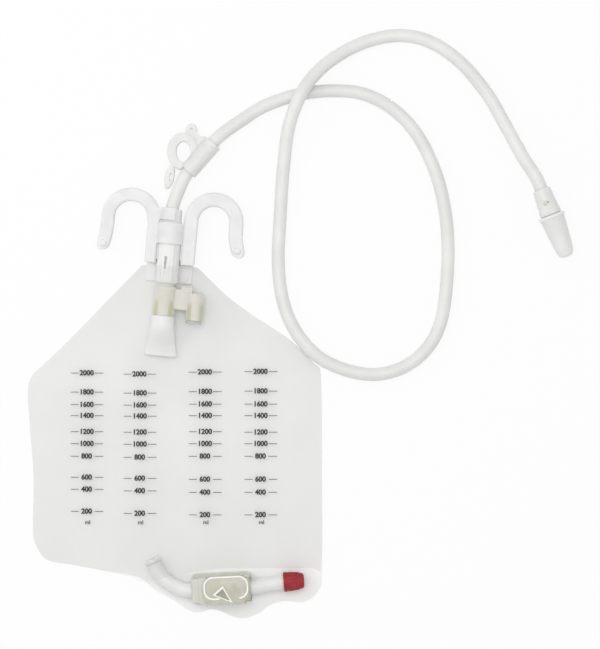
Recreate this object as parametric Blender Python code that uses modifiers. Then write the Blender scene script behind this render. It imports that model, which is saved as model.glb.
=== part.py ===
"""Urine drainage bag: film bag with a double hanger, drip chamber, inlet tube and drain clamp.

It lies flat on a surface at z = 0, with the hanger towards +Y. Metres throughout.
"""

import math

import bmesh
import bpy
import numpy as np
from mathutils import Matrix, Vector

# Clearance between neighbours
GAP = 0.0003

# Film bag
FILM_THICKNESS = 0.00035
WELD_WIDTH = 0.006
PILLOW_HEIGHT = 0.0022
PILLOW_SPREAD = 0.045
RIPPLE_HEIGHT = 0.0003
TENT_MARGIN = 0.0050
TENT_SPREAD = 0.013
TENT_COVER = 0.0008
FILM_CELL = 0.0238
MOUTH_LEFT = (-0.0256, 0.1080)
MOUTH_RIGHT = (0.0178, 0.1062)
LEFT_EDGE = [
    (-0.0361, 0.0972), (-0.0519, 0.0814), (-0.0749, 0.0575), (-0.0948, 0.0378),
    (-0.1080, 0.0257), (-0.1132, 0.0198), (-0.1161, 0.0079), (-0.1143, -0.0205),
    (-0.1115, -0.0616), (-0.1120, -0.1011), (-0.1092, -0.1138), (-0.1005, -0.1248),
    (-0.0788, -0.1288), (-0.0567, -0.1331), (-0.0346, -0.1367), (-0.0251, -0.1402),
]
TAIL_EDGE = [
    (-0.0156, -0.1485), (0.0002, -0.1572), (0.0120, -0.1651), (0.0199, -0.1661),
    (0.0286, -0.1637), (0.0373, -0.1656), (0.0456, -0.1693), (0.0555, -0.1707),
    (0.0666, -0.1667), (0.0752, -0.1604), (0.0871, -0.1572), (0.1009, -0.1582),
    (0.1092, -0.1541), (0.1147, -0.1465), (0.1163, -0.1351),
]
BOTTOM_SEAM = [(-0.0160, -0.1396), (0.0010, -0.1352), (0.0300, -0.1316), (0.1040, -0.1308), (0.1155, -0.1285)]
RIGHT_EDGE = [
    (0.1163, -0.0577), (0.1155, 0.0190), (0.1108, 0.0296), (0.0910, 0.0490),
    (0.0594, 0.0700), (0.0417, 0.0832), (0.0278, 0.0964),
]

# Upper fitments share one axis, which leans from the bag's mouth
FITMENT_LEAN = math.radians(5.3)
MOUTH_CENTRE = (-0.0049, 0.1074)

# Port fitment and valve
SLEEVE_RADIUS = 0.0087
SLEEVE_WALL = 0.0018
SLEEVE_TOP = -0.0165
SLEEVE_LENGTH = 0.030
VENT_RADIUS = 0.0067
VENT_WALL = 0.0020
VENT_OFFSET = 0.0244
VENT_TOP = -0.0200
VENT_LENGTH = 0.0215
WEB_THICKNESS = 0.0070
VALVE_FILM = 0.0003
VALVE_LENGTH = 0.032
VALVE_OVERLAP = 0.007
VALVE_MOUTH_WIDTH = 0.025
VALVE_MOUTH_HEIGHT = 0.0022
VALVE_MOUTH_Z = 0.0030

# Drip chamber
CHAMBER_RADIUS = 0.0090
CHAMBER_FLATNESS = 0.86
CHAMBER_BOTTOM = -0.0140
CHAMBER_TOP = 0.0340
CHAMBER_WALL = 0.0015
NECK_RADIUS = 0.0075
NECK_LENGTH = 0.0105
NECK_SHOULDER = 0.0012
SPIGOT_LENGTH = 0.020
SPIGOT_BORE = 0.0042
SLOT_WIDTH = 0.0022
SLOT_LENGTH = 0.0100
RIB_WIDTH = 0.0011
RIB_HEIGHT = 0.0008

# Double hanger
HOOK_BAR_THICKNESS = 0.0060
HOOK_EDGE = 0.0016
RIGHT_STEM_WIDTH = 0.0112
RIGHT_BAR_WIDTH = 0.0112
RIGHT_HOOK_RADIUS = 0.0177
RIGHT_SPRING_LINE = 0.0373
RIGHT_LEG_DROP = 0.0211
RIGHT_TIP_FLARE = 0.0029
LEFT_STEM_WIDTH = 0.0091
LEFT_BAR_WIDTH = 0.0105
LEFT_HOOK_RADIUS = 0.01795
LEFT_SPRING_LINE = 0.0353
LEFT_LEG_DROP = 0.0223
LEFT_TIP_FLARE = 0.0018
HOOK_NUB_RADIUS = 0.0022
COLLAR_BOTTOM = 0.0170
COLLAR_LENGTH = 0.0165
COLLAR_WALL = 0.0013
CRADLE_RISE = 0.0007
CRADLE_GRIP = 70
BRIDGE_THICKNESS = 0.0052
FLANGE_DEPTH = 0.0130
FLANGE_THICKNESS = 0.0013
FOOT_LENGTH = 0.0050
STEM_START = 0.0014

# Inlet tube, laid loose on the surface
TUBE_DIAMETER = 0.0103
TUBE_SPACING = 2.0 * TUBE_DIAMETER
SOCKET_PLAY = 0.0004
TUBE_ROUTE = [
    (0.0075, 0.1778, 0.0063),
    (0.0207, 0.1928, 0.0059), (0.0339, 0.2078, 0.0058), (0.0500, 0.2200, 0.0053), (0.0720, 0.2336, 0.00525),
    (0.0989, 0.2425, 0.00525), (0.1258, 0.2452, 0.00525), (0.1495, 0.2425, 0.00525), (0.1716, 0.2311, 0.00525),
    (0.1898, 0.2125, 0.00525), (0.2032, 0.1872, 0.00525), (0.2115, 0.1596, 0.00525), (0.2153, 0.1280, 0.00525),
    (0.2143, 0.0924, 0.00525), (0.2095, 0.0624, 0.00525), (0.1985, 0.0419, 0.00525), (0.1811, 0.0280, 0.00525),
    (0.1590, 0.0219, 0.00525), (0.1353, 0.0253, 0.00525), (0.1132, 0.0359, 0.00525), (0.0958, 0.0553, 0.00525),
    (0.0855, 0.0798, 0.00525), (0.0818, 0.1106, 0.00525), (0.0834, 0.1477, 0.00525), (0.0859, 0.1849, 0.0058),
    (0.0903, 0.2165, 0.0114), (0.0997, 0.2413, 0.0164), (0.1140, 0.2607, 0.0119), (0.1353, 0.2767, 0.0058),
    (0.1574, 0.2857, 0.00525), (0.1795, 0.2887, 0.00525), (0.2016, 0.2836, 0.00525), (0.2246, 0.2682, 0.00525),
    (0.2459, 0.2433, 0.00525), (0.2605, 0.2180, 0.0060), (0.2735, 0.1939, 0.0082), (0.2840, 0.1770, 0.0105),
]

# Connector on the tube's end and its cap
CONNECTOR_START = (0.2882, 0.1672)
CONNECTOR_HEADING = math.radians(-68.9)
HUB_RADIUS = 0.0070
HUB_LENGTH = 0.0210
HUB_SOCKET = 0.0120
HUB_FLANGE_RADIUS = 0.0085
CONNECTOR_BORE = 0.0022
TAPER_LENGTH = 0.0270
TAPER_BASE_RADIUS = 0.0048
TAPER_TIP_RADIUS = 0.0034
CAP_RIM_RADIUS = 0.0106
CAP_RIM_LENGTH = 0.0022
CAP_LENGTH = 0.0350
CAP_TIP_RADIUS = 0.0068
CAP_WALL = 0.0012

# Sheet clip on the inlet tube
CLIP_CENTRE = (0.0207, 0.1928)
CLIP_HEADING = math.radians(48.7)
CLIP_THICKNESS = 0.0044
CLIP_EDGE = 0.0011
CLIP_SADDLE_LENGTH = 0.0300
CLIP_SADDLE_WALL = 0.0016
CLIP_LIP = 40
CLIP_PLAY = 0.0005
RING_CENTRE = (-0.0057, 0.0134)
RING_HALF_WIDTH = 0.0125
RING_HALF_LENGTH = 0.0150
RING_BAR = 0.0070
RING_HOLE_SHIFT = (0.0005, -0.0004)
RING_TURN = math.radians(-48.7)

# Drain tube, clamp and cap
DRAIN_DIAMETER = 0.0115
DRAIN_WALL = 0.0013
DRAIN_SPACING = 0.0056
DRAIN_LEAD = [(-0.0160, -0.1262), (-0.0125, -0.1342), (-0.0048, -0.1415), (0.0040, -0.1462)]
DRAIN_ONWARD = [(0.0740, -0.1431)]
PORT_INSERT = 0.0055
PORT_PLAY = 0.0007
PORT_FLANGE = 0.0035
PORT_WALL = 0.0011
CLAMP_CENTRE = (0.0409, -0.1463)
CLAMP_HEADING = math.radians(3.0)
CLAMP_LEFT = 0.0273
CLAMP_RIGHT = 0.0198
CLAMP_WIDTH = 0.0240
CLAMP_BASE = 0.0015
CLAMP_WALL = 0.0016
CLAMP_WALL_INSET = 0.0010
CLAMP_WALL_REACH = 0.0235
CLAMP_WALL_SLOPE = 0.0040
LEVER_LENGTH = 0.0356
LEVER_WIDTH = 0.0222
LEVER_THICKNESS = 0.0018
LEVER_RIM = 0.0012
LEVER_RIM_HEIGHT = 0.0008
LEVER_CORNER = 0.0075
HINGE_X = 0.0166
HINGE_RISE = 0.0015
LUG_RADIUS = 0.0030
PIN_RADIUS = 0.0014
BARREL_RADIUS = 0.0024
PINCH_X = 0.0065
PINCH_THICKNESS = 0.0030
PINCH_SPREAD = 0.0110
DRAIN_CAP_START = (0.0860, -0.1412)
DRAIN_CAP_HEADING = math.radians(4.5)
DRAIN_CAP_RADIUS = 0.0077
DRAIN_CAP_END_RADIUS = 0.0062
DRAIN_CAP_LENGTH = 0.0162
DRAIN_CAP_END_WALL = 0.0024

# Heights that follow from the sizes above
FRONT_Z = FILM_THICKNESS + GAP
AXIS_Z = FRONT_Z + SLEEVE_RADIUS + GAP + VALVE_FILM
DRAIN_Z = FRONT_Z + CLAMP_BASE + GAP + DRAIN_DIAMETER / 2
CONNECTOR_Z = CAP_RIM_RADIUS + GAP
CLIP_Z = 0.0059
SOCKET_RADIUS = TUBE_DIAMETER / 2 + SOCKET_PLAY


def clear_scene():
    for thing in list(bpy.data.objects):
        bpy.data.objects.remove(thing, do_unlink=True)


def make_collection(name):
    collection = bpy.data.collections.new(name)
    bpy.context.scene.collection.children.link(collection)
    return collection


def material(name, colour, roughness=0.4, metallic=0.0):
    made = bpy.data.materials.new(name)
    made.use_nodes = True
    shader = made.node_tree.nodes["Principled BSDF"]
    shader.inputs["Base Color"].default_value = (*colour, 1.0)
    shader.inputs["Roughness"].default_value = roughness
    shader.inputs["Metallic"].default_value = metallic
    return made


def frame_at(x, y, z, heading):
    """A frame whose local X points along the heading, seen from above."""
    return Matrix.Translation((x, y, z)) @ Matrix.Rotation(heading, 4, "Z")


def along_x():
    """Turns a shape made about Z so that its Z end points along local X."""
    return Matrix.Rotation(math.radians(90), 4, "Y")


def along_y():
    """Turns a shape made about Z so that its Z end points along local Y."""
    return Matrix.Rotation(math.radians(-90), 4, "X")


def new_mesh_object(name, mesh, collection, matrix=None, look=None):
    made = bpy.data.objects.new(name, mesh)
    collection.objects.link(made)
    if matrix is not None:
        made.matrix_world = matrix
    if look is not None:
        made.data.materials.append(look)
    return made


def smooth(thing, degrees=35):
    thing.data.shade_smooth()
    thing.data.set_sharp_from_angle(angle=math.radians(degrees))


def turned(name, profile, collection, matrix, steps=32):
    """Turns a profile of (radius, height) points, listed down its outer side, about Z."""
    mesh = bpy.data.meshes.new(name)
    points = [(radius, 0.0, height) for radius, height in profile]
    mesh.from_pydata(points, [(i, i + 1) for i in range(len(points) - 1)], [])
    made = new_mesh_object(name, mesh, collection, matrix)
    screw = made.modifiers.new("Turn", "SCREW")
    screw.axis = "Z"
    screw.steps = steps
    screw.render_steps = steps
    screw.use_merge_vertices = True
    screw.merge_threshold = 0.00001
    return as_mesh(made)


def as_mesh(thing, closed=True):
    """Replaces a curve, or a mesh with modifiers, by the mesh that it makes."""
    bpy.context.view_layer.update()
    graph = bpy.context.evaluated_depsgraph_get()
    mesh = bpy.data.meshes.new_from_object(thing.evaluated_get(graph))
    name = thing.name
    matrix = thing.matrix_world.copy()
    home = thing.users_collection[0]
    looks = [slot for slot in thing.data.materials if slot]
    bpy.data.objects.remove(thing, do_unlink=True)
    shape = bmesh.new()
    shape.from_mesh(mesh)
    bmesh.ops.remove_doubles(shape, verts=shape.verts, dist=0.000002)
    if closed:
        bmesh.ops.recalc_face_normals(shape, faces=shape.faces)
    shape.to_mesh(mesh)
    shape.free()
    mesh.name = name
    mesh.materials.clear()
    for look in looks:
        mesh.materials.append(look)
    return new_mesh_object(name, mesh, home, matrix)


def plate(name, loops, thickness, collection, matrix, edge=0.0, rounds=2):
    """A flat plate from closed outlines, centred on its plane, with rounded edges."""
    curve = bpy.data.curves.new(name, "CURVE")
    curve.dimensions = "2D"
    curve.fill_mode = "BOTH"
    curve.extrude = thickness / 2 - edge
    curve.bevel_depth = edge
    curve.bevel_resolution = rounds
    curve.offset = -edge
    for loop in loops:
        spline = curve.splines.new("POLY")
        spline.points.add(len(loop) - 1)
        for point, (x, y) in zip(spline.points, loop):
            point.co = (x, y, 0.0, 1.0)
        spline.use_cyclic_u = True
    made = bpy.data.objects.new(name, curve)
    collection.objects.link(made)
    made.matrix_world = matrix
    return as_mesh(made)


def box(name, low, high, collection, matrix):
    """A block between two corners, given in the frame of the matrix."""
    shape = bmesh.new()
    bmesh.ops.create_cube(shape, size=1.0)
    size = [b - a for a, b in zip(low, high)]
    middle = [(a + b) / 2 for a, b in zip(low, high)]
    bmesh.ops.scale(shape, vec=size, verts=shape.verts)
    bmesh.ops.translate(shape, vec=middle, verts=shape.verts)
    mesh = bpy.data.meshes.new(name)
    shape.to_mesh(mesh)
    shape.free()
    return new_mesh_object(name, mesh, collection, matrix)


def combine(target, other, operation, guides):
    """Joins, cuts or trims the target with another mesh, which stays as a hidden guide."""
    change = target.modifiers.new(other.name, "BOOLEAN")
    change.operation = operation
    change.solver = "EXACT"
    change.object = other
    for home in list(other.users_collection):
        home.objects.unlink(other)
    guides.objects.link(other)
    other.hide_render = True
    other.display_type = "WIRE"


def finish_piece(thing, look):
    thing.data.materials.clear()
    thing.data.materials.append(look)
    smooth(thing)
    return thing


def arc(centre, radius, start, end, steps):
    """Points along an arc, in degrees."""
    angles = [math.radians(start + (end - start) * i / steps) for i in range(steps + 1)]
    return [(centre[0] + radius * math.cos(a), centre[1] + radius * math.sin(a)) for a in angles]


def ellipse(centre, half_x, half_y, turn, steps):
    points = []
    for i in range(steps):
        angle = 2 * math.pi * i / steps
        x, y = half_x * math.cos(angle), half_y * math.sin(angle)
        points.append(
            (
                centre[0] + x * math.cos(turn) - y * math.sin(turn),
                centre[1] + x * math.sin(turn) + y * math.cos(turn),
            )
        )
    return points


def rounded_rectangle(left, right, bottom, top, corner, steps=5):
    points = arc((right - corner, top - corner), corner, 0, 90, steps)
    points += arc((left + corner, top - corner), corner, 90, 180, steps)
    points += arc((left + corner, bottom + corner), corner, 180, 270, steps)
    points += arc((right - corner, bottom + corner), corner, 270, 360, steps)
    return points


def smooth_path(points, steps):
    """A smooth curve through the points, with so many steps between neighbours."""
    known = [np.array(p, dtype=float) for p in points]
    known = [2 * known[0] - known[1]] + known + [2 * known[-1] - known[-2]]
    path = []
    for a, b, c, d in zip(known, known[1:], known[2:], known[3:]):
        for i in range(steps):
            t = i / steps
            path.append(
                0.5 * (2 * b + (c - a) * t + (2 * a - 5 * b + 4 * c - d) * t * t + (3 * b - a - 3 * c + d) * t**3)
            )
    path.append(known[-2])
    return np.array(path)


def evenly_spaced(path, spacing):
    """The path again, with points at even distances along it."""
    steps = np.linalg.norm(np.diff(path, axis=0), axis=1)
    run = np.concatenate([[0.0], np.cumsum(steps)])
    count = max(2, int(round(run[-1] / spacing)) + 1)
    wanted = np.linspace(0.0, run[-1], count)
    return np.stack([np.interp(wanted, run, path[:, k]) for k in range(path.shape[1])], axis=1)


def tube(name, path, radius, collection, resolution=3, caps=True):
    """A curve of round section along the path."""
    curve = bpy.data.curves.new(name, "CURVE")
    curve.dimensions = "3D"
    curve.bevel_depth = radius
    curve.bevel_resolution = resolution
    curve.use_fill_caps = caps
    spline = curve.splines.new("POLY")
    spline.points.add(len(path) - 1)
    for point, place in zip(spline.points, path):
        point.co = (*place, 1.0)
    made = bpy.data.objects.new(name, curve)
    collection.objects.link(made)
    return made


def fade(value):
    """Rises smoothly from 0 to 1 as the value goes from 0 to 1."""
    t = min(max(value, 0.0), 1.0)
    return t * t * (3 - 2 * t)


def fitment_frame(z=None):
    """The frame of the upper fitments: local Y runs up their common axis from the mouth."""
    return frame_at(*MOUTH_CENTRE, AXIS_Z if z is None else z, -FITMENT_LEAN)


def outline(lower):
    """The outline of a film, from the mouth's left corner round to its right corner."""
    points = [MOUTH_LEFT] + LEFT_EDGE + lower + RIGHT_EDGE + [MOUTH_RIGHT]
    return [tuple(p) for p in smooth_path(points, 3)]


def distance_to_edge(x, y, edge):
    """Distance from a point to the nearest part of an open edge line."""
    starts, ends = edge[:-1], edge[1:]
    runs = ends - starts
    here = np.array([x, y]) - starts
    share = np.clip((here * runs).sum(1) / (runs * runs).sum(1), 0.0, 1.0)
    return float(np.linalg.norm(here - runs * share[:, None], axis=1).min())


def distance_to_box(x, y, low, high):
    across = max(low[0] - x, 0.0, x - high[0])
    along = max(low[1] - y, 0.0, y - high[1])
    return math.hypot(across, along)


def covered_pieces():
    """What lies between the films: frame, low corner, high corner and top height of each."""
    fitment = fitment_frame(0.0).inverted()
    world = Matrix.Identity(4)
    sleeve_end = SLEEVE_TOP - SLEEVE_LENGTH
    valve_end = sleeve_end + VALVE_OVERLAP - VALVE_LENGTH
    reach = SLEEVE_RADIUS + GAP + VALVE_FILM
    top = AXIS_Z + reach
    middle = (sleeve_end + valve_end) / 2
    half_mouth = VALVE_MOUTH_WIDTH / 2
    return [
        (fitment, (-reach, sleeve_end), (reach, 0.002), top),
        (fitment, (-half_mouth, middle), (half_mouth, sleeve_end), 0.75 * top),
        (fitment, (-half_mouth, valve_end), (half_mouth, middle), 0.42 * top),
        (fitment, (reach, VENT_TOP - VENT_LENGTH), (VENT_OFFSET + VENT_RADIUS, VENT_TOP + 0.003), AXIS_Z + VENT_RADIUS),
        (world, (-0.0225, -0.1370), (-0.0090, -0.1215), FRONT_Z + DRAIN_DIAMETER + PORT_WALL),
        (world, (-0.0180, -0.1500), (0.0020, -0.1340), FRONT_Z + DRAIN_DIAMETER + PORT_WALL),
    ]


def front_height(x, y, edge, pieces):
    """Height of the front film's under side: a shallow pillow, raised over what it covers."""
    inward = distance_to_edge(x, y, edge)
    pillow = PILLOW_HEIGHT * fade((inward - WELD_WIDTH) / PILLOW_SPREAD)
    ripple = RIPPLE_HEIGHT * fade((inward - WELD_WIDTH) / 0.02) * (
        1.0 + math.sin(x * 95 + y * 22) * math.cos(y * 61 - x * 17)
    )
    raised = pillow + ripple
    for inverse, low, high, top in pieces:
        local = inverse @ Vector((x, y, 0.0))
        away = distance_to_box(local.x, local.y, low, high) - TENT_MARGIN
        cover = (top + TENT_COVER - FRONT_Z) * (1 - fade(away / TENT_SPREAD))
        raised = max(raised, cover * (fade(inward / WELD_WIDTH) if y > 0 else 1.0))
    return FRONT_Z + raised


def refine(shape, low, high, cuts=1):
    """Divides the edges that lie inside a region, seen from above."""
    chosen = []
    for edge in shape.edges:
        middle = (edge.verts[0].co + edge.verts[1].co) / 2
        if low[0] < middle.x < high[0] and low[1] < middle.y < high[1]:
            chosen.append(edge)
    bmesh.ops.subdivide_edges(shape, edges=chosen, cuts=cuts, use_grid_fill=True)


def build_back_film(parts, look):
    made = plate("back_film", [outline(TAIL_EDGE)], FILM_THICKNESS, parts, Matrix.Translation((0, 0, FILM_THICKNESS / 2)))
    return finish_piece(made, look)


def build_front_film(parts, guides, look):
    loop = outline(BOTTOM_SEAM)
    edge = np.array(loop)
    low, high = edge.min(0) - 0.004, edge.max(0) + 0.004
    columns = int((high[0] - low[0]) / FILM_CELL)
    rows = int((high[1] - low[1]) / FILM_CELL)
    shape = bmesh.new()
    bmesh.ops.create_grid(shape, x_segments=columns, y_segments=rows, size=0.5)
    for vert in shape.verts:
        vert.co.x = low[0] + (vert.co.x + 0.5) * (high[0] - low[0])
        vert.co.y = low[1] + (vert.co.y + 0.5) * (high[1] - low[1])
    refine(shape, (-0.045, 0.020), (0.055, 0.120))
    refine(shape, (-0.034, 0.026), (0.046, 0.120))
    refine(shape, (-0.047, -0.150), (0.020, -0.108))
    refine(shape, (-0.040, -0.150), (0.012, -0.115))
    bmesh.ops.triangulate(shape, faces=shape.faces)
    pieces = covered_pieces()
    for vert in shape.verts:
        vert.co.z = front_height(vert.co.x, vert.co.y, edge, pieces)
    bmesh.ops.recalc_face_normals(shape, faces=shape.faces)
    if sum(face.normal.z for face in shape.faces) < 0:
        bmesh.ops.reverse_faces(shape, faces=shape.faces)
    mesh = bpy.data.meshes.new("front_film")
    shape.to_mesh(mesh)
    shape.free()
    made = new_mesh_object("front_film", mesh, parts)
    wall = made.modifiers.new("Film", "SOLIDIFY")
    wall.thickness = FILM_THICKNESS
    wall.offset = 1.0
    trim = plate("front_film_trim", [loop], 0.2, guides, Matrix.Identity(4))
    combine(made, trim, "INTERSECT", guides)
    return finish_piece(made, look)


def build_valve(parts, look):
    """A flattened film sleeve, open at its lower end, that only lets urine out of the sleeve above it."""
    sides, rings = 18, 5
    top = SLEEVE_TOP - SLEEVE_LENGTH + VALVE_OVERLAP
    radius = SLEEVE_RADIUS + GAP
    shape = bmesh.new()
    loops = []
    for ring in range(rings):
        t = max(ring - 1, 0) / (rings - 2)
        run = VALVE_OVERLAP if ring else 0.0
        across = radius + (VALVE_MOUTH_WIDTH / 2 - radius) * t
        tall = radius + (VALVE_MOUTH_HEIGHT / 2 - radius) * fade(t)
        drop = (AXIS_Z - VALVE_MOUTH_Z) * fade(t)
        y = top - run - (VALVE_LENGTH - VALVE_OVERLAP) * t
        loops.append(
            [
                shape.verts.new((across * math.cos(2 * math.pi * k / sides), y, tall * math.sin(2 * math.pi * k / sides) - drop))
                for k in range(sides)
            ]
        )
    for upper, lower in zip(loops, loops[1:]):
        for k in range(sides):
            shape.faces.new((upper[k], upper[(k + 1) % sides], lower[(k + 1) % sides], lower[k]))
    mesh = bpy.data.meshes.new("anti_reflux_valve")
    shape.to_mesh(mesh)
    shape.free()
    made = new_mesh_object("anti_reflux_valve", mesh, parts, fitment_frame())
    wall = made.modifiers.new("Film", "SOLIDIFY")
    wall.thickness = VALVE_FILM
    wall.offset = 1.0
    return finish_piece(made, look)


def build_port_fitment(parts, guides, look):
    frame = fitment_frame()
    up = frame @ along_y()
    sleeve_end = SLEEVE_TOP - SLEEVE_LENGTH
    made = turned(
        "port_fitment",
        [(0, SLEEVE_TOP), (SLEEVE_RADIUS, SLEEVE_TOP), (SLEEVE_RADIUS, sleeve_end), (0, sleeve_end)],
        parts,
        up,
        26,
    )
    beside = frame @ Matrix.Translation((VENT_OFFSET, 0, 0)) @ along_y()
    vent_end = VENT_TOP - VENT_LENGTH
    vent = turned(
        "vent_sleeve_body",
        [(0, VENT_TOP), (VENT_RADIUS, VENT_TOP), (VENT_RADIUS, vent_end), (0, vent_end)],
        guides,
        beside,
        24,
    )
    web_left = SLEEVE_RADIUS * 0.6
    web_right = VENT_OFFSET + VENT_RADIUS * 0.7
    web_top = CHAMBER_BOTTOM - 2 * GAP
    web = plate(
        "port_web",
        [[
            (CHAMBER_RADIUS + 0.003, web_top), (VENT_OFFSET, web_top), (web_right, VENT_TOP),
            (web_right, VENT_TOP - 0.010), (VENT_OFFSET, VENT_TOP - 0.014), (web_left, VENT_TOP - 0.014),
            (web_left, SLEEVE_TOP - 0.001), (CHAMBER_RADIUS + 0.003, SLEEVE_TOP - 0.001),
        ]],
        WEB_THICKNESS,
        guides,
        frame,
        0.0012,
        1,
    )
    inlet_bore = turned(
        "inlet_bore",
        [(0, SLEEVE_TOP + 0.01), (SLEEVE_RADIUS - SLEEVE_WALL, SLEEVE_TOP + 0.01),
         (SLEEVE_RADIUS - SLEEVE_WALL, sleeve_end - 0.01), (0, sleeve_end - 0.01)],
        guides,
        up,
        22,
    )
    vent_bore = turned(
        "vent_bore",
        [(0, VENT_TOP + 0.01), (VENT_RADIUS - VENT_WALL, VENT_TOP + 0.01),
         (VENT_RADIUS - VENT_WALL, vent_end - 0.01), (0, vent_end - 0.01)],
        guides,
        beside,
        20,
    )
    combine(made, vent, "UNION", guides)
    combine(made, web, "UNION", guides)
    combine(made, inlet_bore, "DIFFERENCE", guides)
    combine(made, vent_bore, "DIFFERENCE", guides)
    return finish_piece(made, look)


def build_vent_plug(parts, look):
    radius = VENT_RADIUS - VENT_WALL - GAP
    head = VENT_RADIUS - 0.0006
    seat = VENT_TOP - VENT_LENGTH - GAP
    profile = [
        (0, seat + 0.0080), (radius - 0.0005, seat + 0.0080), (radius, seat + 0.0072), (radius, seat),
        (head, seat), (head, seat - 0.0014), (head - 0.0006, seat - 0.0020), (0, seat - 0.0020),
    ]
    made = turned("vent_plug", profile, parts, fitment_frame() @ Matrix.Translation((VENT_OFFSET, 0, 0)) @ along_y(), 20)
    return finish_piece(made, look)


def build_drip_chamber(parts, guides, look):
    frame = fitment_frame()
    up = frame @ along_y()
    flat = frame @ Matrix.Diagonal((1.0, 1.0, CHAMBER_FLATNESS, 1.0)) @ along_y()
    spigot = SLEEVE_RADIUS - SLEEVE_WALL - GAP
    neck_top = CHAMBER_TOP + NECK_LENGTH
    tip = CHAMBER_BOTTOM - SPIGOT_LENGTH
    profile = [
        (0, neck_top), (NECK_RADIUS - 0.0005, neck_top), (NECK_RADIUS, neck_top - 0.0006),
        (NECK_RADIUS, CHAMBER_TOP + NECK_SHOULDER),
        (CHAMBER_RADIUS - 0.0008, CHAMBER_TOP), (CHAMBER_RADIUS, CHAMBER_TOP - 0.0010),
        (CHAMBER_RADIUS, CHAMBER_BOTTOM + 0.0012), (CHAMBER_RADIUS - 0.0012, CHAMBER_BOTTOM), (0, CHAMBER_BOTTOM),
    ]
    made = turned("drip_chamber", profile, parts, flat, 26)
    made.data.transform(flat)
    made.matrix_world = Matrix.Identity(4)
    lower = turned(
        "chamber_spigot",
        [(0, CHAMBER_BOTTOM + 0.004), (spigot, CHAMBER_BOTTOM + 0.004), (spigot, tip + 0.0015), (spigot - 0.0008, tip), (0, tip)],
        guides,
        up,
        22,
    )
    combine(made, lower, "UNION", guides)
    front = CHAMBER_RADIUS * CHAMBER_FLATNESS
    for index, across in enumerate((-0.0046, 0.0044)):
        rise = front * math.sqrt(1 - (across / CHAMBER_RADIUS) ** 2)
        rib = box(
            f"chamber_rib_{index + 1}",
            (across - RIB_WIDTH / 2, CHAMBER_BOTTOM + 0.002, rise - 0.0012),
            (across + RIB_WIDTH / 2, COLLAR_BOTTOM - 0.0012, rise + RIB_HEIGHT),
            guides,
            frame,
        )
        combine(made, rib, "UNION", guides)
    inside = CHAMBER_RADIUS - CHAMBER_WALL
    room = front - CHAMBER_WALL
    hollow = turned(
        "chamber_hollow",
        [(0, CHAMBER_TOP - 0.0025), (inside * 0.7, CHAMBER_TOP - 0.0025), (inside, CHAMBER_TOP - 0.0060),
         (inside, CHAMBER_BOTTOM + 0.0060), (inside * 0.6, CHAMBER_BOTTOM + 0.0030), (0, CHAMBER_BOTTOM + 0.0030)],
        guides,
        frame @ Matrix.Diagonal((1.0, 1.0, room / inside, 1.0)) @ along_y(),
        20,
    )
    hollow.data.transform(hollow.matrix_world)
    hollow.matrix_world = Matrix.Identity(4)
    socket = turned(
        "tube_socket",
        [(0, neck_top + 0.002), (SOCKET_RADIUS, neck_top + 0.002), (SOCKET_RADIUS, CHAMBER_TOP), (0.0030, CHAMBER_TOP),
         (0.0030, CHAMBER_TOP - 0.004), (0, CHAMBER_TOP - 0.004)],
        guides,
        up,
        24,
    )
    outlet = turned(
        "chamber_outlet",
        [(0, CHAMBER_BOTTOM + 0.006), (SPIGOT_BORE, CHAMBER_BOTTOM + 0.006), (SPIGOT_BORE, tip - 0.002), (0, tip - 0.002)],
        guides,
        up,
        16,
    )
    slot = box(
        "chamber_slot",
        (-SLOT_WIDTH / 2 - 0.0016, -0.0040, 0.002),
        (SLOT_WIDTH / 2 - 0.0016, SLOT_LENGTH - 0.0040, CHAMBER_RADIUS + 0.002),
        guides,
        frame,
    )
    for cutter in (hollow, socket, outlet, slot):
        combine(made, cutter, "DIFFERENCE", guides)
    return finish_piece(made, look)


def hook_outline(stem_width, bar_width, radius, spring_line, leg_drop, flare):
    """A right-hand hook as one bar: up the stem, over the arch and down to its flared round tip."""
    half = bar_width / 2
    near = CHAMBER_RADIUS + 2 * GAP
    stem = near + stem_width / 2
    centre = (stem + radius, spring_line)
    leg = stem + 2 * radius
    tip = (leg + flare, spring_line - leg_drop)
    knee = (leg + 0.14 * flare, spring_line - 0.55 * leg_drop)
    tip_angle = math.degrees(math.atan2(tip[1] - knee[1], tip[0] - knee[0]))
    outer = [(near, STEM_START), (near, spring_line - half / 3)] + arc(centre, radius + half, 180, 0, 12)
    outer.append((knee[0] + half, knee[1]))
    outer += arc(tip, half, tip_angle + 90, tip_angle - 90, 6)
    inner = [(knee[0] - half, knee[1])] + arc(centre, radius - half, 0, 180, 10)
    inner += [(near + stem_width, spring_line - half / 3), (near + stem_width, STEM_START)]
    return outer + inner, tip


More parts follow.
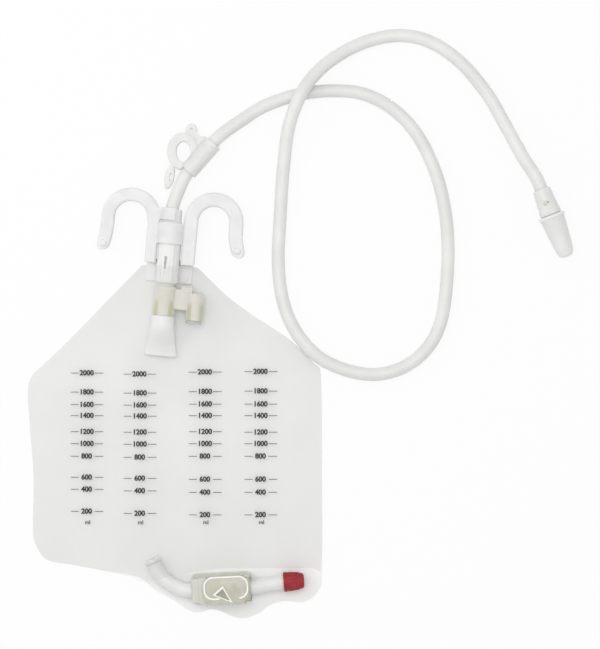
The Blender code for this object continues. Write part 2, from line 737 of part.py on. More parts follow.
def build_hanger(parts, guides, look):
    frame = fitment_frame()
    right_loop, right_tip = hook_outline(
        RIGHT_STEM_WIDTH, RIGHT_BAR_WIDTH, RIGHT_HOOK_RADIUS, RIGHT_SPRING_LINE, RIGHT_LEG_DROP, RIGHT_TIP_FLARE
    )
    left_loop, left_tip = hook_outline(
        LEFT_STEM_WIDTH, LEFT_BAR_WIDTH, LEFT_HOOK_RADIUS, LEFT_SPRING_LINE, LEFT_LEG_DROP, LEFT_TIP_FLARE
    )
    made = plate("hanger", [right_loop[::-1]], HOOK_BAR_THICKNESS, parts, frame, HOOK_EDGE, 1)
    mirrored = [(-x, y) for x, y in left_loop]
    left_hook = plate("left_hook", [mirrored], HOOK_BAR_THICKNESS, guides, frame, HOOK_EDGE, 1)
    combine(made, left_hook, "UNION", guides)
    stem_in = CHAMBER_RADIUS + 2 * GAP
    left_out, right_out = stem_in + LEFT_STEM_WIDTH, stem_in + RIGHT_STEM_WIDTH
    floor = FRONT_Z - AXIS_Z
    collar_x = CHAMBER_RADIUS + GAP + COLLAR_WALL
    collar_z = CHAMBER_RADIUS * CHAMBER_FLATNESS + GAP + COLLAR_WALL
    standing = frame @ Matrix.Translation((0, COLLAR_BOTTOM + COLLAR_LENGTH / 2, 0)) @ along_y()
    collar = plate("collar_body", [ellipse((0, 0), collar_x, collar_z, 0, 22)], COLLAR_LENGTH, guides, standing)
    combine(made, collar, "UNION", guides)
    flange = plate(
        "weld_flange",
        [rounded_rectangle(-left_out + 0.0015, right_out - 0.0015, -FLANGE_DEPTH, FOOT_LENGTH, 0.003)],
        FLANGE_THICKNESS,
        guides,
        frame @ Matrix.Translation((0, 0, floor + FLANGE_THICKNESS / 2)),
    )
    combine(made, flange, "UNION", guides)
    for side, stem_out, name in ((-1, left_out, "left_foot"), (1, right_out, "right_foot")):
        near, far = sorted((side * (stem_in + 0.0006), side * (stem_out - 0.0018)))
        low = (near, STEM_START, floor + FLANGE_THICKNESS / 2)
        combine(made, box(name, low, (far, FOOT_LENGTH, 0.0), guides, frame), "UNION", guides)
    room_x, room_z = CHAMBER_RADIUS + GAP, CHAMBER_RADIUS * CHAMBER_FLATNESS + GAP
    room = plate(
        "chamber_room",
        [ellipse((0, 0), room_x, room_z, 0, 22)],
        COLLAR_LENGTH + 0.004,
        guides,
        standing,
    )
    combine(made, room, "DIFFERENCE", guides)

    # Open cradle round the neck, and the bridge that carries it from the left stem
    low, high = CHAMBER_TOP + NECK_SHOULDER + GAP, CHAMBER_TOP + NECK_LENGTH + CRADLE_RISE
    hold_x, hold_z = NECK_RADIUS + GAP, NECK_RADIUS * CHAMBER_FLATNESS + GAP
    squash = (hold_z + COLLAR_WALL) / (hold_x + COLLAR_WALL)
    outer = arc((0, 0), hold_x + COLLAR_WALL, CRADLE_GRIP, 360 - CRADLE_GRIP, 11)
    inner = arc((0, 0), hold_x, 360 - CRADLE_GRIP, CRADLE_GRIP, 10)
    section = [(x, z * squash) for x, z in outer] + [(x, z * hold_z / hold_x) for x, z in inner]
    upright = frame @ Matrix.Translation((0, (low + high) / 2, 0)) @ along_y()
    combine(made, plate("neck_cradle", [section], high - low, guides, upright), "UNION", guides)
    half = BRIDGE_THICKNESS / 2
    near, far = low + 0.0004, high - 0.0004
    bridge = box("bridge", (-left_out, near, -half), (-hold_x - COLLAR_WALL / 2, far, half), guides, frame)
    combine(made, bridge, "UNION", guides)

    steps = ((0, 1), (0.6, 0.8), (1, 0), (1, -0.6), (0, -0.6))
    rings = [(r * HOOK_NUB_RADIUS, HOOK_BAR_THICKNESS / 2 + h * 0.0012) for r, h in steps]
    for side, tip, name in ((-1, left_tip, "left_nub"), (1, right_tip, "right_nub")):
        spot = frame @ Matrix.Translation((side * tip[0], tip[1], 0))
        combine(made, turned(name, rings, guides, spot, 12), "UNION", guides)
    return finish_piece(made, look)


def build_inlet_tube(parts, look):
    heading = Vector((math.cos(CONNECTOR_HEADING), math.sin(CONNECTOR_HEADING), 0.0))
    start = Vector((*CONNECTOR_START, CONNECTOR_Z))
    ends = [tuple(start), tuple(start + heading * (HUB_SOCKET - 0.001))]
    fitment = fitment_frame()
    socket = [tuple(fitment @ Vector((0.0, CHAMBER_TOP + GAP + run * TUBE_SPACING, 0.0))) for run in (0.0, 0.5, 1.0)]
    path = evenly_spaced(smooth_path(socket + TUBE_ROUTE + ends, 12), TUBE_SPACING)
    made = tube("inlet_tube", path, TUBE_DIAMETER / 2, parts)
    made.data.materials.append(look)
    return made


def connector_frame(run=0.0):
    """A frame on the connector's axis, so far along it, with Z along the axis."""
    x = CONNECTOR_START[0] + run * math.cos(CONNECTOR_HEADING)
    y = CONNECTOR_START[1] + run * math.sin(CONNECTOR_HEADING)
    return frame_at(x, y, CONNECTOR_Z, CONNECTOR_HEADING) @ along_x()


def build_connector(parts, guides, look):
    flange = HUB_LENGTH
    end = HUB_LENGTH + TAPER_LENGTH
    profile = [
        (0, end), (TAPER_TIP_RADIUS - 0.0006, end), (TAPER_TIP_RADIUS, end - 0.0010), (TAPER_BASE_RADIUS, flange + 0.0015),
        (HUB_FLANGE_RADIUS - 0.0004, flange), (HUB_FLANGE_RADIUS, flange - 0.0006), (HUB_FLANGE_RADIUS, flange - 0.0036),
        (HUB_RADIUS + 0.0010, flange - 0.0050), (HUB_RADIUS + 0.0006, 0.0070), (HUB_RADIUS, 0.0012), (HUB_RADIUS - 0.0006, 0), (0, 0),
    ]
    made = turned("tube_connector", profile, parts, connector_frame(), 20)
    bore = turned(
        "connector_bore",
        [(0, end + 0.001), (CONNECTOR_BORE, end + 0.001), (CONNECTOR_BORE, HUB_SOCKET), (SOCKET_RADIUS, HUB_SOCKET), (SOCKET_RADIUS, -0.001), (0, -0.001)],
        guides,
        connector_frame(),
        20,
    )
    combine(made, bore, "DIFFERENCE", guides)
    return finish_piece(made, look)


def build_connector_cap(parts, guides, look):
    length = CAP_LENGTH
    profile = [
        (0, length), (0.35 * CAP_TIP_RADIUS, length - 0.0003), (0.75 * CAP_TIP_RADIUS, length - 0.0017), (CAP_TIP_RADIUS, length - 0.0048),
        (CAP_TIP_RADIUS + 0.0006, length - 0.0090), (CAP_RIM_RADIUS - 0.0016, 0.0100), (CAP_RIM_RADIUS - 0.0011, CAP_RIM_LENGTH + 0.0006),
        (CAP_RIM_RADIUS, CAP_RIM_LENGTH), (CAP_RIM_RADIUS, 0.0004), (CAP_RIM_RADIUS - 0.0004, 0), (0, 0),
    ]
    made = turned("connector_cap", profile, parts, connector_frame(HUB_LENGTH + 2 * GAP), 22)
    inner = [
        (0, length - CAP_WALL - 0.0010), (0.55 * CAP_TIP_RADIUS, length - CAP_WALL - 0.0014), (CAP_TIP_RADIUS - CAP_WALL, length - 0.0062),
        (CAP_RIM_RADIUS - 0.0016 - CAP_WALL, 0.0100), (CAP_RIM_RADIUS - 0.0013 - CAP_WALL, -0.001), (0, -0.001),
    ]
    hollow = turned("cap_hollow", inner, guides, connector_frame(HUB_LENGTH + 2 * GAP), 20)
    combine(made, hollow, "DIFFERENCE", guides)
    return finish_piece(made, look)


def build_sheet_clip(parts, guides, look):
    frame = frame_at(*CLIP_CENTRE, CLIP_Z, CLIP_HEADING)
    hole_x, hole_y = RING_HALF_WIDTH - RING_BAR, RING_HALF_LENGTH - RING_BAR
    ring = ellipse(RING_CENTRE, RING_HALF_WIDTH, RING_HALF_LENGTH, RING_TURN, 24)
    turn = Matrix.Rotation(RING_TURN, 2)

    def at_ring(x, y):
        return tuple(Vector(RING_CENTRE) + turn @ Vector((x, y)))

    hole = ellipse(at_ring(*RING_HOLE_SHIFT), hole_x, hole_y, RING_TURN, 16)
    made = plate("sheet_clip", [ring, hole[::-1]], CLIP_THICKNESS, parts, frame, CLIP_EDGE, 1)
    knob = arc((0.0066, 0.0172), 0.0047, -20, 200, 7) + [(0.0030, 0.0100), (0.0100, 0.0080)]
    nub = plate(
        "thumb_nub",
        [[at_ring(x, y) for x, y in knob]],
        CLIP_THICKNESS * 0.9,
        guides,
        frame,
        CLIP_EDGE,
        0,
    )
    tail_loop = [at_ring(x, y) for x, y in ellipse((-0.0100, -0.0195), 0.0044, 0.0105, math.radians(-12), 14)]
    slot = [at_ring(x, y) for x, y in ellipse((-0.0104, -0.0215), 0.0011, 0.0058, math.radians(-12), 10)]
    tail = plate("tail_loop", [tail_loop, slot[::-1]], CLIP_THICKNESS * 0.8, guides, frame, CLIP_EDGE, 0)
    inner = TUBE_DIAMETER / 2 + CLIP_PLAY
    outer = inner + CLIP_SADDLE_WALL
    trim = inner + 0.45 * CLIP_SADDLE_WALL
    end = CLIP_SADDLE_LENGTH / 2 - 0.0003
    corner = [
        (0.0050, inner), (end, inner), (end, outer + 0.0008), (0.0118, 0.0114), (0.0134, 0.0150),
        (0.0085, 0.0158), (0.0040, 0.0100),
    ]
    web = plate("corner_web", [corner], CLIP_THICKNESS * 0.8, guides, frame, 0.0004, 0)
    channel = plate("tube_channel", [ellipse((0, 0), trim, trim, 0.11, 20)], 0.07, guides, frame @ along_x())
    section = arc((0, 0), outer, CLIP_LIP, 360 - CLIP_LIP, 14)
    section += arc((0, 0), inner, 354 - CLIP_LIP, 6 + CLIP_LIP, 12)
    saddle = plate("saddle", [section], CLIP_SADDLE_LENGTH, guides, frame @ along_x(), 0.0003, 0)
    combine(made, channel, "DIFFERENCE", guides)
    combine(tail, channel, "DIFFERENCE", guides)
    combine(web, channel, "DIFFERENCE", guides)
    combine(made, saddle, "UNION", guides)
    combine(made, web, "UNION", guides)
    combine(made, nub, "UNION", guides)
    combine(made, tail, "UNION", guides)
    return finish_piece(made, look)


def drain_path():
    """The drain tube's centreline: low at its port, and raised where the clamp and cap hold it."""
    low = FRONT_Z + DRAIN_DIAMETER / 2 + PORT_WALL * 0.3
    points = []
    for index, (x, y) in enumerate(DRAIN_LEAD):
        points.append((x, y, low + (DRAIN_Z - low) * fade(index / len(DRAIN_LEAD))))
    clamp = clamp_frame()
    for run in (-CLAMP_LEFT, -CLAMP_LEFT / 2, 0.0, CLAMP_RIGHT):
        points.append(tuple(clamp @ Vector((run, 0.0, 0.0))))
    points += [(x, y, DRAIN_Z) for x, y in DRAIN_ONWARD]
    cap = frame_at(*DRAIN_CAP_START, DRAIN_Z, DRAIN_CAP_HEADING)
    depth = DRAIN_CAP_LENGTH - DRAIN_CAP_END_WALL
    for run in (0.0, depth / 2, depth - GAP):
        points.append(tuple(cap @ Vector((run, 0.0, 0.0))))
    return evenly_spaced(smooth_path(points, 10), DRAIN_SPACING)


def squash_in_clamp(mesh):
    """Flattens the drain tube where the clamp's nose pinches it, with its perimeter kept."""
    frame = clamp_frame()
    inverse = frame.inverted()
    radius = DRAIN_DIAMETER / 2
    flat = (PINCH_THICKNESS / 2) / radius
    wide = math.pi / 2 - (math.pi / 2 - 1) * flat
    for vert in mesh.vertices:
        local = inverse @ vert.co
        away = max(abs(local.x - PINCH_X) - 0.0025, 0.0)
        pinch = 1 - fade(away / PINCH_SPREAD)
        floor = -radius
        local.z = floor + (local.z - floor) * (1 - pinch * (1 - flat))
        local.y = local.y * (1 + pinch * (0.93 * wide - 1))
        vert.co = frame @ local


def build_drain_tube(parts, look):
    curve = tube("drain_tube", drain_path(), DRAIN_DIAMETER / 2, parts, 4, caps=False)
    made = as_mesh(curve, closed=False)
    squash_in_clamp(made.data)
    wall = made.modifiers.new("Wall", "SOLIDIFY")
    wall.thickness = DRAIN_WALL
    wall.offset = -1.0
    return finish_piece(made, look)


def build_drain_port(parts, look):
    """A flanged stub that the drain tube is pushed over, inside the bag's lower seam."""
    path = drain_path()
    start, run = path[0], path[1] - path[0]
    heading = math.atan2(run[1], run[0])
    outer = DRAIN_DIAMETER / 2 - DRAIN_WALL - PORT_PLAY
    inner = outer - PORT_WALL
    lip = DRAIN_DIAMETER / 2 + 0.0004
    profile = [
        (inner, PORT_INSERT), (outer - 0.0004, PORT_INSERT), (outer, PORT_INSERT - 0.0010), (outer, -GAP),
        (lip, -GAP), (lip, -PORT_FLANGE + 0.0006), (lip - 0.0006, -PORT_FLANGE), (inner, -PORT_FLANGE), (inner, PORT_INSERT),
    ]
    made = turned("drain_port", profile, parts, frame_at(*start, heading) @ along_x(), 28)
    return finish_piece(made, look)


def clamp_frame():
    return frame_at(*CLAMP_CENTRE, DRAIN_Z, CLAMP_HEADING)


def hinge_height():
    return DRAIN_DIAMETER / 2 + HINGE_RISE


def build_clamp_body(parts, guides, look):
    frame = clamp_frame()
    floor = FRONT_Z - DRAIN_Z
    deck = floor + CLAMP_BASE
    half = CLAMP_WIDTH / 2
    outer = half - CLAMP_WALL_INSET
    inner = outer - CLAMP_WALL
    made = plate(
        "clamp_body",
        [rounded_rectangle(-CLAMP_LEFT, CLAMP_RIGHT, -half, half, 0.004)],
        CLAMP_BASE,
        parts,
        frame @ Matrix.Translation((0, 0, (floor + deck) / 2)),
    )
    shoulder = hinge_height() - LUG_RADIUS
    side_view = frame @ Matrix.Rotation(math.radians(90), 4, "X")
    for side, name in ((-1, "near_wall"), (1, "far_wall")):
        middle = side * (inner + outer) / 2
        profile = [(-CLAMP_WALL_REACH, deck - 0.0005), (HINGE_X + LUG_RADIUS, deck - 0.0005)]
        profile += arc((HINGE_X, hinge_height()), LUG_RADIUS, 0, 180, 10)
        profile += [
            (HINGE_X - 2 * LUG_RADIUS, shoulder),
            (CLAMP_WALL_SLOPE - CLAMP_WALL_REACH, shoulder - 0.0006),
            (-CLAMP_WALL_REACH, shoulder - CLAMP_WALL_SLOPE),
        ]
        wall = plate(name, [profile], CLAMP_WALL, guides, side_view @ Matrix.Translation((0, 0, -middle)))
        combine(made, wall, "UNION", guides)
    grip = plate(
        "thumb_rest",
        [rounded_rectangle(-CLAMP_LEFT + 0.0006, -LEVER_LENGTH / 2 - 0.0012, -half + 0.0024, half - 0.0024, 0.0022)],
        hinge_height() + 0.0010 - deck,
        guides,
        frame @ Matrix.Translation((0, 0, (hinge_height() + 0.0010 + deck) / 2)),
        0.0010,
        1,
    )
    combine(made, grip, "UNION", guides)
    channel = plate(
        "tube_channel",
        [ellipse((0, 0), DRAIN_DIAMETER / 2 + 2 * GAP, DRAIN_DIAMETER / 2 + GAP * 0.9, math.radians(90), 24)],
        0.1,
        guides,
        frame @ along_x(),
    )
    bed = box("tube_bed", (-LEVER_LENGTH / 2 - GAP, -inner, deck), (HINGE_X + LUG_RADIUS + 0.01, inner, 0.0), guides, frame)
    pin_holes = turned(
        "pin_holes",
        [(0, half), (PIN_RADIUS + GAP, half), (PIN_RADIUS + GAP, -half), (0, -half)],
        guides,
        frame @ Matrix.Translation((HINGE_X, 0, hinge_height())) @ along_y(),
        16,
    )
    for cutter in (channel, bed, pin_holes):
        combine(made, cutter, "DIFFERENCE", guides)
    return finish_piece(made, look)


def build_clamp_lever(parts, guides, look):
    frame = clamp_frame() @ Matrix.Translation((HINGE_X, 0, hinge_height()))
    half = LEVER_WIDTH / 2
    right = LEVER_LENGTH / 2 - HINGE_X
    left = -LEVER_LENGTH / 2 - HINGE_X
    under = LUG_RADIUS + GAP
    over = under + LEVER_THICKNESS
    made = plate(
        "clamp_lever",
        [rounded_rectangle(left, right, -half, half, LEVER_CORNER)],
        LEVER_THICKNESS,
        parts,
        frame,
    )
    made.data.transform(Matrix.Translation((0, 0, (under + over) / 2)))
    rim_middle = frame @ Matrix.Translation((0, 0, over + (LEVER_RIM_HEIGHT - 0.0004) / 2))
    rim = plate(
        "lever_rim",
        [
            rounded_rectangle(left, right, -half, half, LEVER_CORNER),
            rounded_rectangle(left + LEVER_RIM, right - LEVER_RIM, -half + LEVER_RIM, half - LEVER_RIM, LEVER_CORNER - LEVER_RIM)[::-1],
        ],
        LEVER_RIM_HEIGHT + 0.0004,
        guides,
        rim_middle,
    )
    window = [(-0.0028 - HINGE_X, 0.0002), (-0.0088 - HINGE_X, -half + 0.0044), (0.0036 - HINGE_X, -half + 0.0020)]
    middle = Vector((sum(p[0] for p in window) / 3, sum(p[1] for p in window) / 3))
    frame_loop = [tuple(middle + (Vector(p) - middle) * 1.32) for p in window]
    window_rim = plate("window_rim", [frame_loop], LEVER_RIM_HEIGHT + 0.0004, guides, rim_middle)
    window_cut = plate("window_cut", [window], 0.01, guides, frame @ Matrix.Translation((0, 0, over)))
    inner = CLAMP_WIDTH / 2 - CLAMP_WALL_INSET - CLAMP_WALL - GAP
    barrel = turned(
        "hinge_barrel",
        [(0, inner), (BARREL_RADIUS, inner), (BARREL_RADIUS, -inner), (0, -inner)],
        guides,
        frame @ along_y(),
        20,
    )
    reach = CLAMP_WIDTH / 2 - CLAMP_WALL_INSET - GAP
    pins = turned(
        "hinge_pins",
        [(0, reach), (PIN_RADIUS, reach), (PIN_RADIUS, -reach), (0, -reach)],
        guides,
        frame @ along_y(),
        16,
    )
    web = box("hinge_web", (-BARREL_RADIUS, -inner, 0.0), (BARREL_RADIUS * 0.6, inner, under + 0.0005), guides, frame)
    nose_end = -DRAIN_DIAMETER / 2 + PINCH_THICKNESS + GAP - hinge_height()
    nose = plate(
        "pinch_nose",
        [[(-0.0014, under + 0.0005), (0.0014, under + 0.0005), (0.0014, nose_end + 0.0012), (0.0007, nose_end + 0.0003),
          (0, nose_end), (-0.0007, nose_end + 0.0003), (-0.0014, nose_end + 0.0012)][::-1]],
        2 * inner - 0.0012,
        guides,
        frame @ Matrix.Translation((PINCH_X - HINGE_X, 0, 0)) @ Matrix.Rotation(math.radians(90), 4, "X"),
    )
    for piece in (rim, window_rim, barrel, pins, web, nose):
        combine(made, piece, "UNION", guides)
    combine(made, window_cut, "DIFFERENCE", guides)
    return finish_piece(made, look)


def build_drain_cap(parts, guides, look):
    frame = frame_at(*DRAIN_CAP_START, DRAIN_Z, DRAIN_CAP_HEADING) @ along_x()
    length, wide, narrow = DRAIN_CAP_LENGTH, DRAIN_CAP_RADIUS, DRAIN_CAP_END_RADIUS
    bore = DRAIN_DIAMETER / 2 + GAP
    depth = length - DRAIN_CAP_END_WALL
    profile = [
        (0, length), (narrow - 0.0020, length), (narrow - 0.0006, length - 0.0006), (narrow, length - 0.0022),
        (wide, 0.0030), (wide, 0.0005), (wide - 0.0005, 0), (bore, 0), (bore, depth), (0, depth),
    ]
    made = turned("drain_cap", profile, parts, frame, 24)
    return finish_piece(made, look)


def build_all():
    clear_scene()
    parts = make_collection("urine_drainage_bag")
    guides = make_collection("cutters_and_guides")
    film = material("frosted_film", (0.86, 0.87, 0.85), 0.35)
    moulded = material("translucent_polypropylene", (0.88, 0.89, 0.90), 0.45)
    clear_tube = material("clear_tube_vinyl", (0.83, 0.83, 0.78), 0.25)
    port = material("yellow_port_vinyl", (0.80, 0.74, 0.50), 0.35)
    clamp = material("clamp_plastic", (0.82, 0.80, 0.68), 0.40)
    white = material("white_plastic", (0.92, 0.92, 0.90), 0.40)
    red = material("red_vinyl", (0.62, 0.02, 0.05), 0.40)
    filter_look = material("filter_grey", (0.70, 0.70, 0.68), 0.70)
    build_back_film(parts, film)
    build_front_film(parts, guides, film)
    build_valve(parts, film)
    build_port_fitment(parts, guides, port)
    build_vent_plug(parts, filter_look)
    build_drip_chamber(parts, guides, moulded)
    build_hanger(parts, guides, moulded)
    build_inlet_tube(parts, clear_tube)
    build_connector(parts, guides, white)
    build_connector_cap(parts, guides, moulded)
    build_sheet_clip(parts, guides, moulded)
    build_drain_port(parts, port)
    build_drain_tube(parts, clear_tube)
    build_clamp_body(parts, guides, clamp)
    build_clamp_lever(parts, guides, white)
    build_drain_cap(parts, guides, red)


build_all()
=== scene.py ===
# %% [markdown]
# # A urine drainage bag, lying flat
# The bag is two films welded together round their edge, with a moulded hanger and a drip chamber at
# its mouth, a long inlet tube, and an outlet with a lever clamp and a red cap. The solids come from
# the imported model, and this script lays the looks over them, piece by piece, in the same frame.

# %% Load the frame
import math
import bpy
import bmesh
import numpy as np
from mathutils import Matrix, Vector, geometry, noise


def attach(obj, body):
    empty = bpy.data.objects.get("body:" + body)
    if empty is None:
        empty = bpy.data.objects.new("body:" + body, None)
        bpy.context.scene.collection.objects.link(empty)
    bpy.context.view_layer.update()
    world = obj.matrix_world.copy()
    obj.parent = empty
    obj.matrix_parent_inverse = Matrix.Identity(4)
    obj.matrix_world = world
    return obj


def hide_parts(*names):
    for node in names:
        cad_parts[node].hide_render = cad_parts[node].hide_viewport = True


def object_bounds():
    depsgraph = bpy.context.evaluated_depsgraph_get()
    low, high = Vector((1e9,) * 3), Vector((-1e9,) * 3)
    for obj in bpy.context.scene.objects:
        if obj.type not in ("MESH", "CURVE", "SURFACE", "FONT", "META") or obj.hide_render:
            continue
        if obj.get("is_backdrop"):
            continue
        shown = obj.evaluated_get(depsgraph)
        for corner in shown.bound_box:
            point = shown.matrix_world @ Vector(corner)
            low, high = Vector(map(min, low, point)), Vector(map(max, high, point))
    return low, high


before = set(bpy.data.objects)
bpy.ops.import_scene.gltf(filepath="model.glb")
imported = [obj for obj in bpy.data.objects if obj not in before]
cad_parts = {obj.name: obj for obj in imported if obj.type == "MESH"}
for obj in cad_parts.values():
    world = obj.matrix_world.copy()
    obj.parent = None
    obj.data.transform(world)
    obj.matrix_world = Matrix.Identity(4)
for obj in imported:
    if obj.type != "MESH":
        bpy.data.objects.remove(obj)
cad_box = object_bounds()
print("nodes", sorted(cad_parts))
print("box in mm", [[round(1000 * c, 1) for c in corner] for corner in cad_box])

# %% [markdown]
# ## Camera
# The bag was seen from straight above, so the camera looks straight down. A long lens from 1.6 m
# keeps the raised hooks and the flat film at nearly the same scale. The view is 474 mm wide and
# 513 mm high, and its middle lies to the right of the bag because the tube's loop is there.

# %% Camera
VIEW_MIDDLE = (0.0989, 0.0612)
VIEW_HEIGHT = 0.5127
CAMERA_HEIGHT = 1.6

bpy.ops.object.camera_add(location=(*VIEW_MIDDLE, CAMERA_HEIGHT), rotation=(0, 0, 0))
camera = bpy.context.object
camera.data.sensor_width = 36
camera.data.lens = 36 * CAMERA_HEIGHT / VIEW_HEIGHT
bpy.context.scene.camera = camera
print("lens in mm", round(camera.data.lens, 1))

# %% [markdown]
# ## Floor and light
# A white table and a white studio room. The floor shows itself to the camera as white, but a small
# share of it stays an ordinary matt surface, so that it keeps the soft shadow under the object.
# A large lamp overhead and a smaller one on the left add to the room's own light, so that the sides
# of round pieces fall off a little in tone. That makes pale plastic readable against white.

# %% Floor
bpy.ops.mesh.primitive_plane_add(size=6, location=(0.1, 0.06, -0.0004))
floor = bpy.context.object
floor.name = "table_top"
floor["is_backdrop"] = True

paint = bpy.data.materials.new("white_table")
paint.use_nodes = True
nodes, links = paint.node_tree.nodes, paint.node_tree.links
nodes["Principled BSDF"].inputs["Base Color"].default_value = (0.86, 0.86, 0.86, 1)
nodes["Principled BSDF"].inputs["Roughness"].default_value = 0.8
glow = nodes.new("ShaderNodeEmission")
rays = nodes.new("ShaderNodeLightPath")
seen, clear, share = (nodes.new("ShaderNodeMath") for _ in range(3))
seen.operation = clear.operation = "MAXIMUM"
share.operation = "MULTIPLY"
share.inputs[1].default_value = 0.88
both = nodes.new("ShaderNodeMixShader")
links.new(rays.outputs["Is Camera Ray"], seen.inputs[0])
links.new(rays.outputs["Is Glossy Ray"], seen.inputs[1])
links.new(seen.outputs[0], clear.inputs[0])
links.new(rays.outputs["Is Transmission Ray"], clear.inputs[1])
links.new(clear.outputs[0], share.inputs[0])
links.new(share.outputs[0], both.inputs["Fac"])
links.new(nodes["Principled BSDF"].outputs["BSDF"], both.inputs[1])
links.new(glow.outputs["Emission"], both.inputs[2])
links.new(both.outputs["Shader"], nodes["Material Output"].inputs["Surface"])
floor.data.materials.append(paint)

# %% Light
world = bpy.data.worlds.new("studio_room")
bpy.context.scene.world = world
world.use_nodes = True
world.node_tree.nodes["Background"].inputs["Color"].default_value = (1, 1, 1, 1)
world.node_tree.nodes["Background"].inputs["Strength"].default_value = 0.72


def soft_lamp(name, place, size, power):
    """A square lamp that faces the middle of the object."""
    bpy.ops.object.light_add(type="AREA", location=place)
    lamp = bpy.context.object
    lamp.name = name
    lamp.data.shape = "SQUARE"
    lamp.data.size = size
    lamp.data.energy = power
    lamp.rotation_euler = (Vector((0.1, 0.06, 0)) - Vector(place)).to_track_quat("-Z", "Y").to_euler()
    return lamp


soft_lamp("overhead_lamp", (0.0, 0.25, 1.5), 0.9, 7.0)
soft_lamp("left_lamp", (-0.9, 0.5, 0.9), 0.6, 2.4)
bpy.context.scene.view_settings.view_transform = "Standard"

# %% [markdown]
# ## Frames and small helpers
# The hooks, drip chamber and ports share one axis that leans a little from the bag's mouth, and the
# clamp, the caps and the clip each have an axis of their own. A piece is shaped about the world's
# axes, where the numbers are easy to read, and its mesh is then moved into its frame.

# %% Frames
AXIS_Z = 0.00995
DRAIN_Z = 0.0082


def frame_at(x, y, z, degrees):
    return Matrix.Translation((x, y, z)) @ Matrix.Rotation(math.radians(degrees), 4, "Z")


FITMENTS = frame_at(-0.0049, 0.1074, AXIS_Z, -5.3)
CLAMP = frame_at(0.0409, -0.1463, DRAIN_Z, 3.0)
DRAIN_END = frame_at(0.0860, -0.1412, DRAIN_Z, 4.5)
CONNECTOR = frame_at(0.2882, 0.1672, 0.0109, -68.9)
CLIP = frame_at(0.0207, 0.1928, 0.0059, 48.7)
UP_THE_AXIS = Matrix.Rotation(math.radians(-90), 4, "X")
ALONG_X = Matrix.Rotation(math.radians(90), 4, "Y")


# %% Helpers for working by hand
def start_from(adder, name, **settings):
    """Adds a primitive as the only selected object."""
    bpy.ops.object.select_all(action="DESELECT")
    adder(**settings)
    piece = bpy.context.object
    piece.name = name
    return piece


def pick(*pieces):
    """Makes these the only selected pieces, and the first of them the active one."""
    bpy.ops.object.select_all(action="DESELECT")
    for piece in pieces:
        piece.select_set(True)
    bpy.context.view_layer.objects.active = pieces[0]


def new_piece(name, shape):
    """Turns a finished net of faces into a piece of the scene."""
    mesh = bpy.data.meshes.new(name)
    shape.to_mesh(mesh)
    shape.free()
    piece = bpy.data.objects.new(name, mesh)
    bpy.context.scene.collection.objects.link(piece)
    return piece


def edit(piece, mode="FACE"):
    """Opens a piece in edit mode with all of it selected."""
    pick(piece)
    bpy.ops.object.mode_set(mode="EDIT")
    bpy.ops.mesh.select_mode(type=mode)
    bpy.ops.mesh.select_all(action="SELECT")


def close_edit():
    bpy.ops.object.mode_set(mode="OBJECT")


def settle(piece, matrix):
    """Puts the place of a piece into its mesh, and leaves its object at the origin."""
    piece.data.transform(matrix @ piece.matrix_world)
    piece.matrix_world = Matrix.Identity(4)
    return piece


def apply_modifier(piece, kind, **settings):
    """Adds a modifier with its settings and applies it."""
    pick(piece)
    change = piece.modifiers.new(kind.title(), kind)
    for key, value in settings.items():
        setattr(change, key, value)
    bpy.ops.object.modifier_apply(modifier=change.name)


def soften(piece, width, segments=2, angle=35):
    """Rounds the sharp edges of a piece and shades it smooth."""
    apply_modifier(
        piece, "BEVEL", width=width, segments=segments, limit_method="ANGLE", angle_limit=math.radians(angle)
    )
    bpy.ops.object.shade_smooth_by_angle(angle=math.radians(40))


def turned(name, rings, matrix, sides=48):
    """A disc that is extruded and scaled through (radius, height) rings, as on a lathe."""
    piece = start_from(
        bpy.ops.mesh.primitive_circle_add, name, vertices=sides, radius=rings[0][0], fill_type="NGON",
        location=(0, 0, rings[0][1]),
    )
    edit(piece)
    for (radius, height), (next_radius, next_height) in zip(rings, rings[1:]):
        bpy.ops.mesh.extrude_region_move(TRANSFORM_OT_translate={"value": (0, 0, next_height - height)})
        scale = next_radius / radius
        bpy.ops.transform.resize(value=(scale, scale, 1), center_override=(0, 0, next_height))
    bpy.ops.mesh.select_all(action="SELECT")
    bpy.ops.mesh.normals_make_consistent(inside=False)
    close_edit()
    return settle(piece, matrix)


def join_solids(piece, others, operation="UNION"):
    """Joins or cuts a piece with others, which are used up."""
    for other in others:
        apply_modifier(piece, "BOOLEAN", operation=operation, solver="EXACT", object=other)
        bpy.data.objects.remove(other, do_unlink=True)
    return piece


def moulded(piece, voxel, rounds):
    """Melts joined solids into one moulding with soft inner corners."""
    apply_modifier(piece, "REMESH", mode="VOXEL", voxel_size=voxel)
    apply_modifier(piece, "SMOOTH", factor=0.5, iterations=rounds)
    bpy.ops.object.shade_smooth()


def open_edges(piece):
    """How many edges don't join exactly two faces: none on a closed solid."""
    shape = bmesh.new()
    shape.from_mesh(piece.data)
    count = sum(len(edge.link_faces) != 2 for edge in shape.edges)
    shape.free()
    return count


def wear(piece, look, body="bag"):
    """Gives a piece its material and its body, and says what it is."""
    piece.data.materials.clear()
    piece.data.materials.append(look)
    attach(piece, body)
    if piece.type == "MESH":
        print(piece.name, len(piece.data.polygons), "faces,", open_edges(piece), "open edges")
    return piece


# %% [markdown]
# ## Materials
# Almost everything here is pale plastic, and the finishes differ in how they scatter light. The
# film is frosted, the hooks and the chamber are milky polypropylene, the tube is soft clear vinyl,
# and the ports are the yellow of aged vinyl. Each finish gets a slow variation of tone, like the
# uneven thickness of the plastic, and a fine grain for its surface. Nearly all of them are opaque,
# because clear pieces that lay one over another came out almost black here.

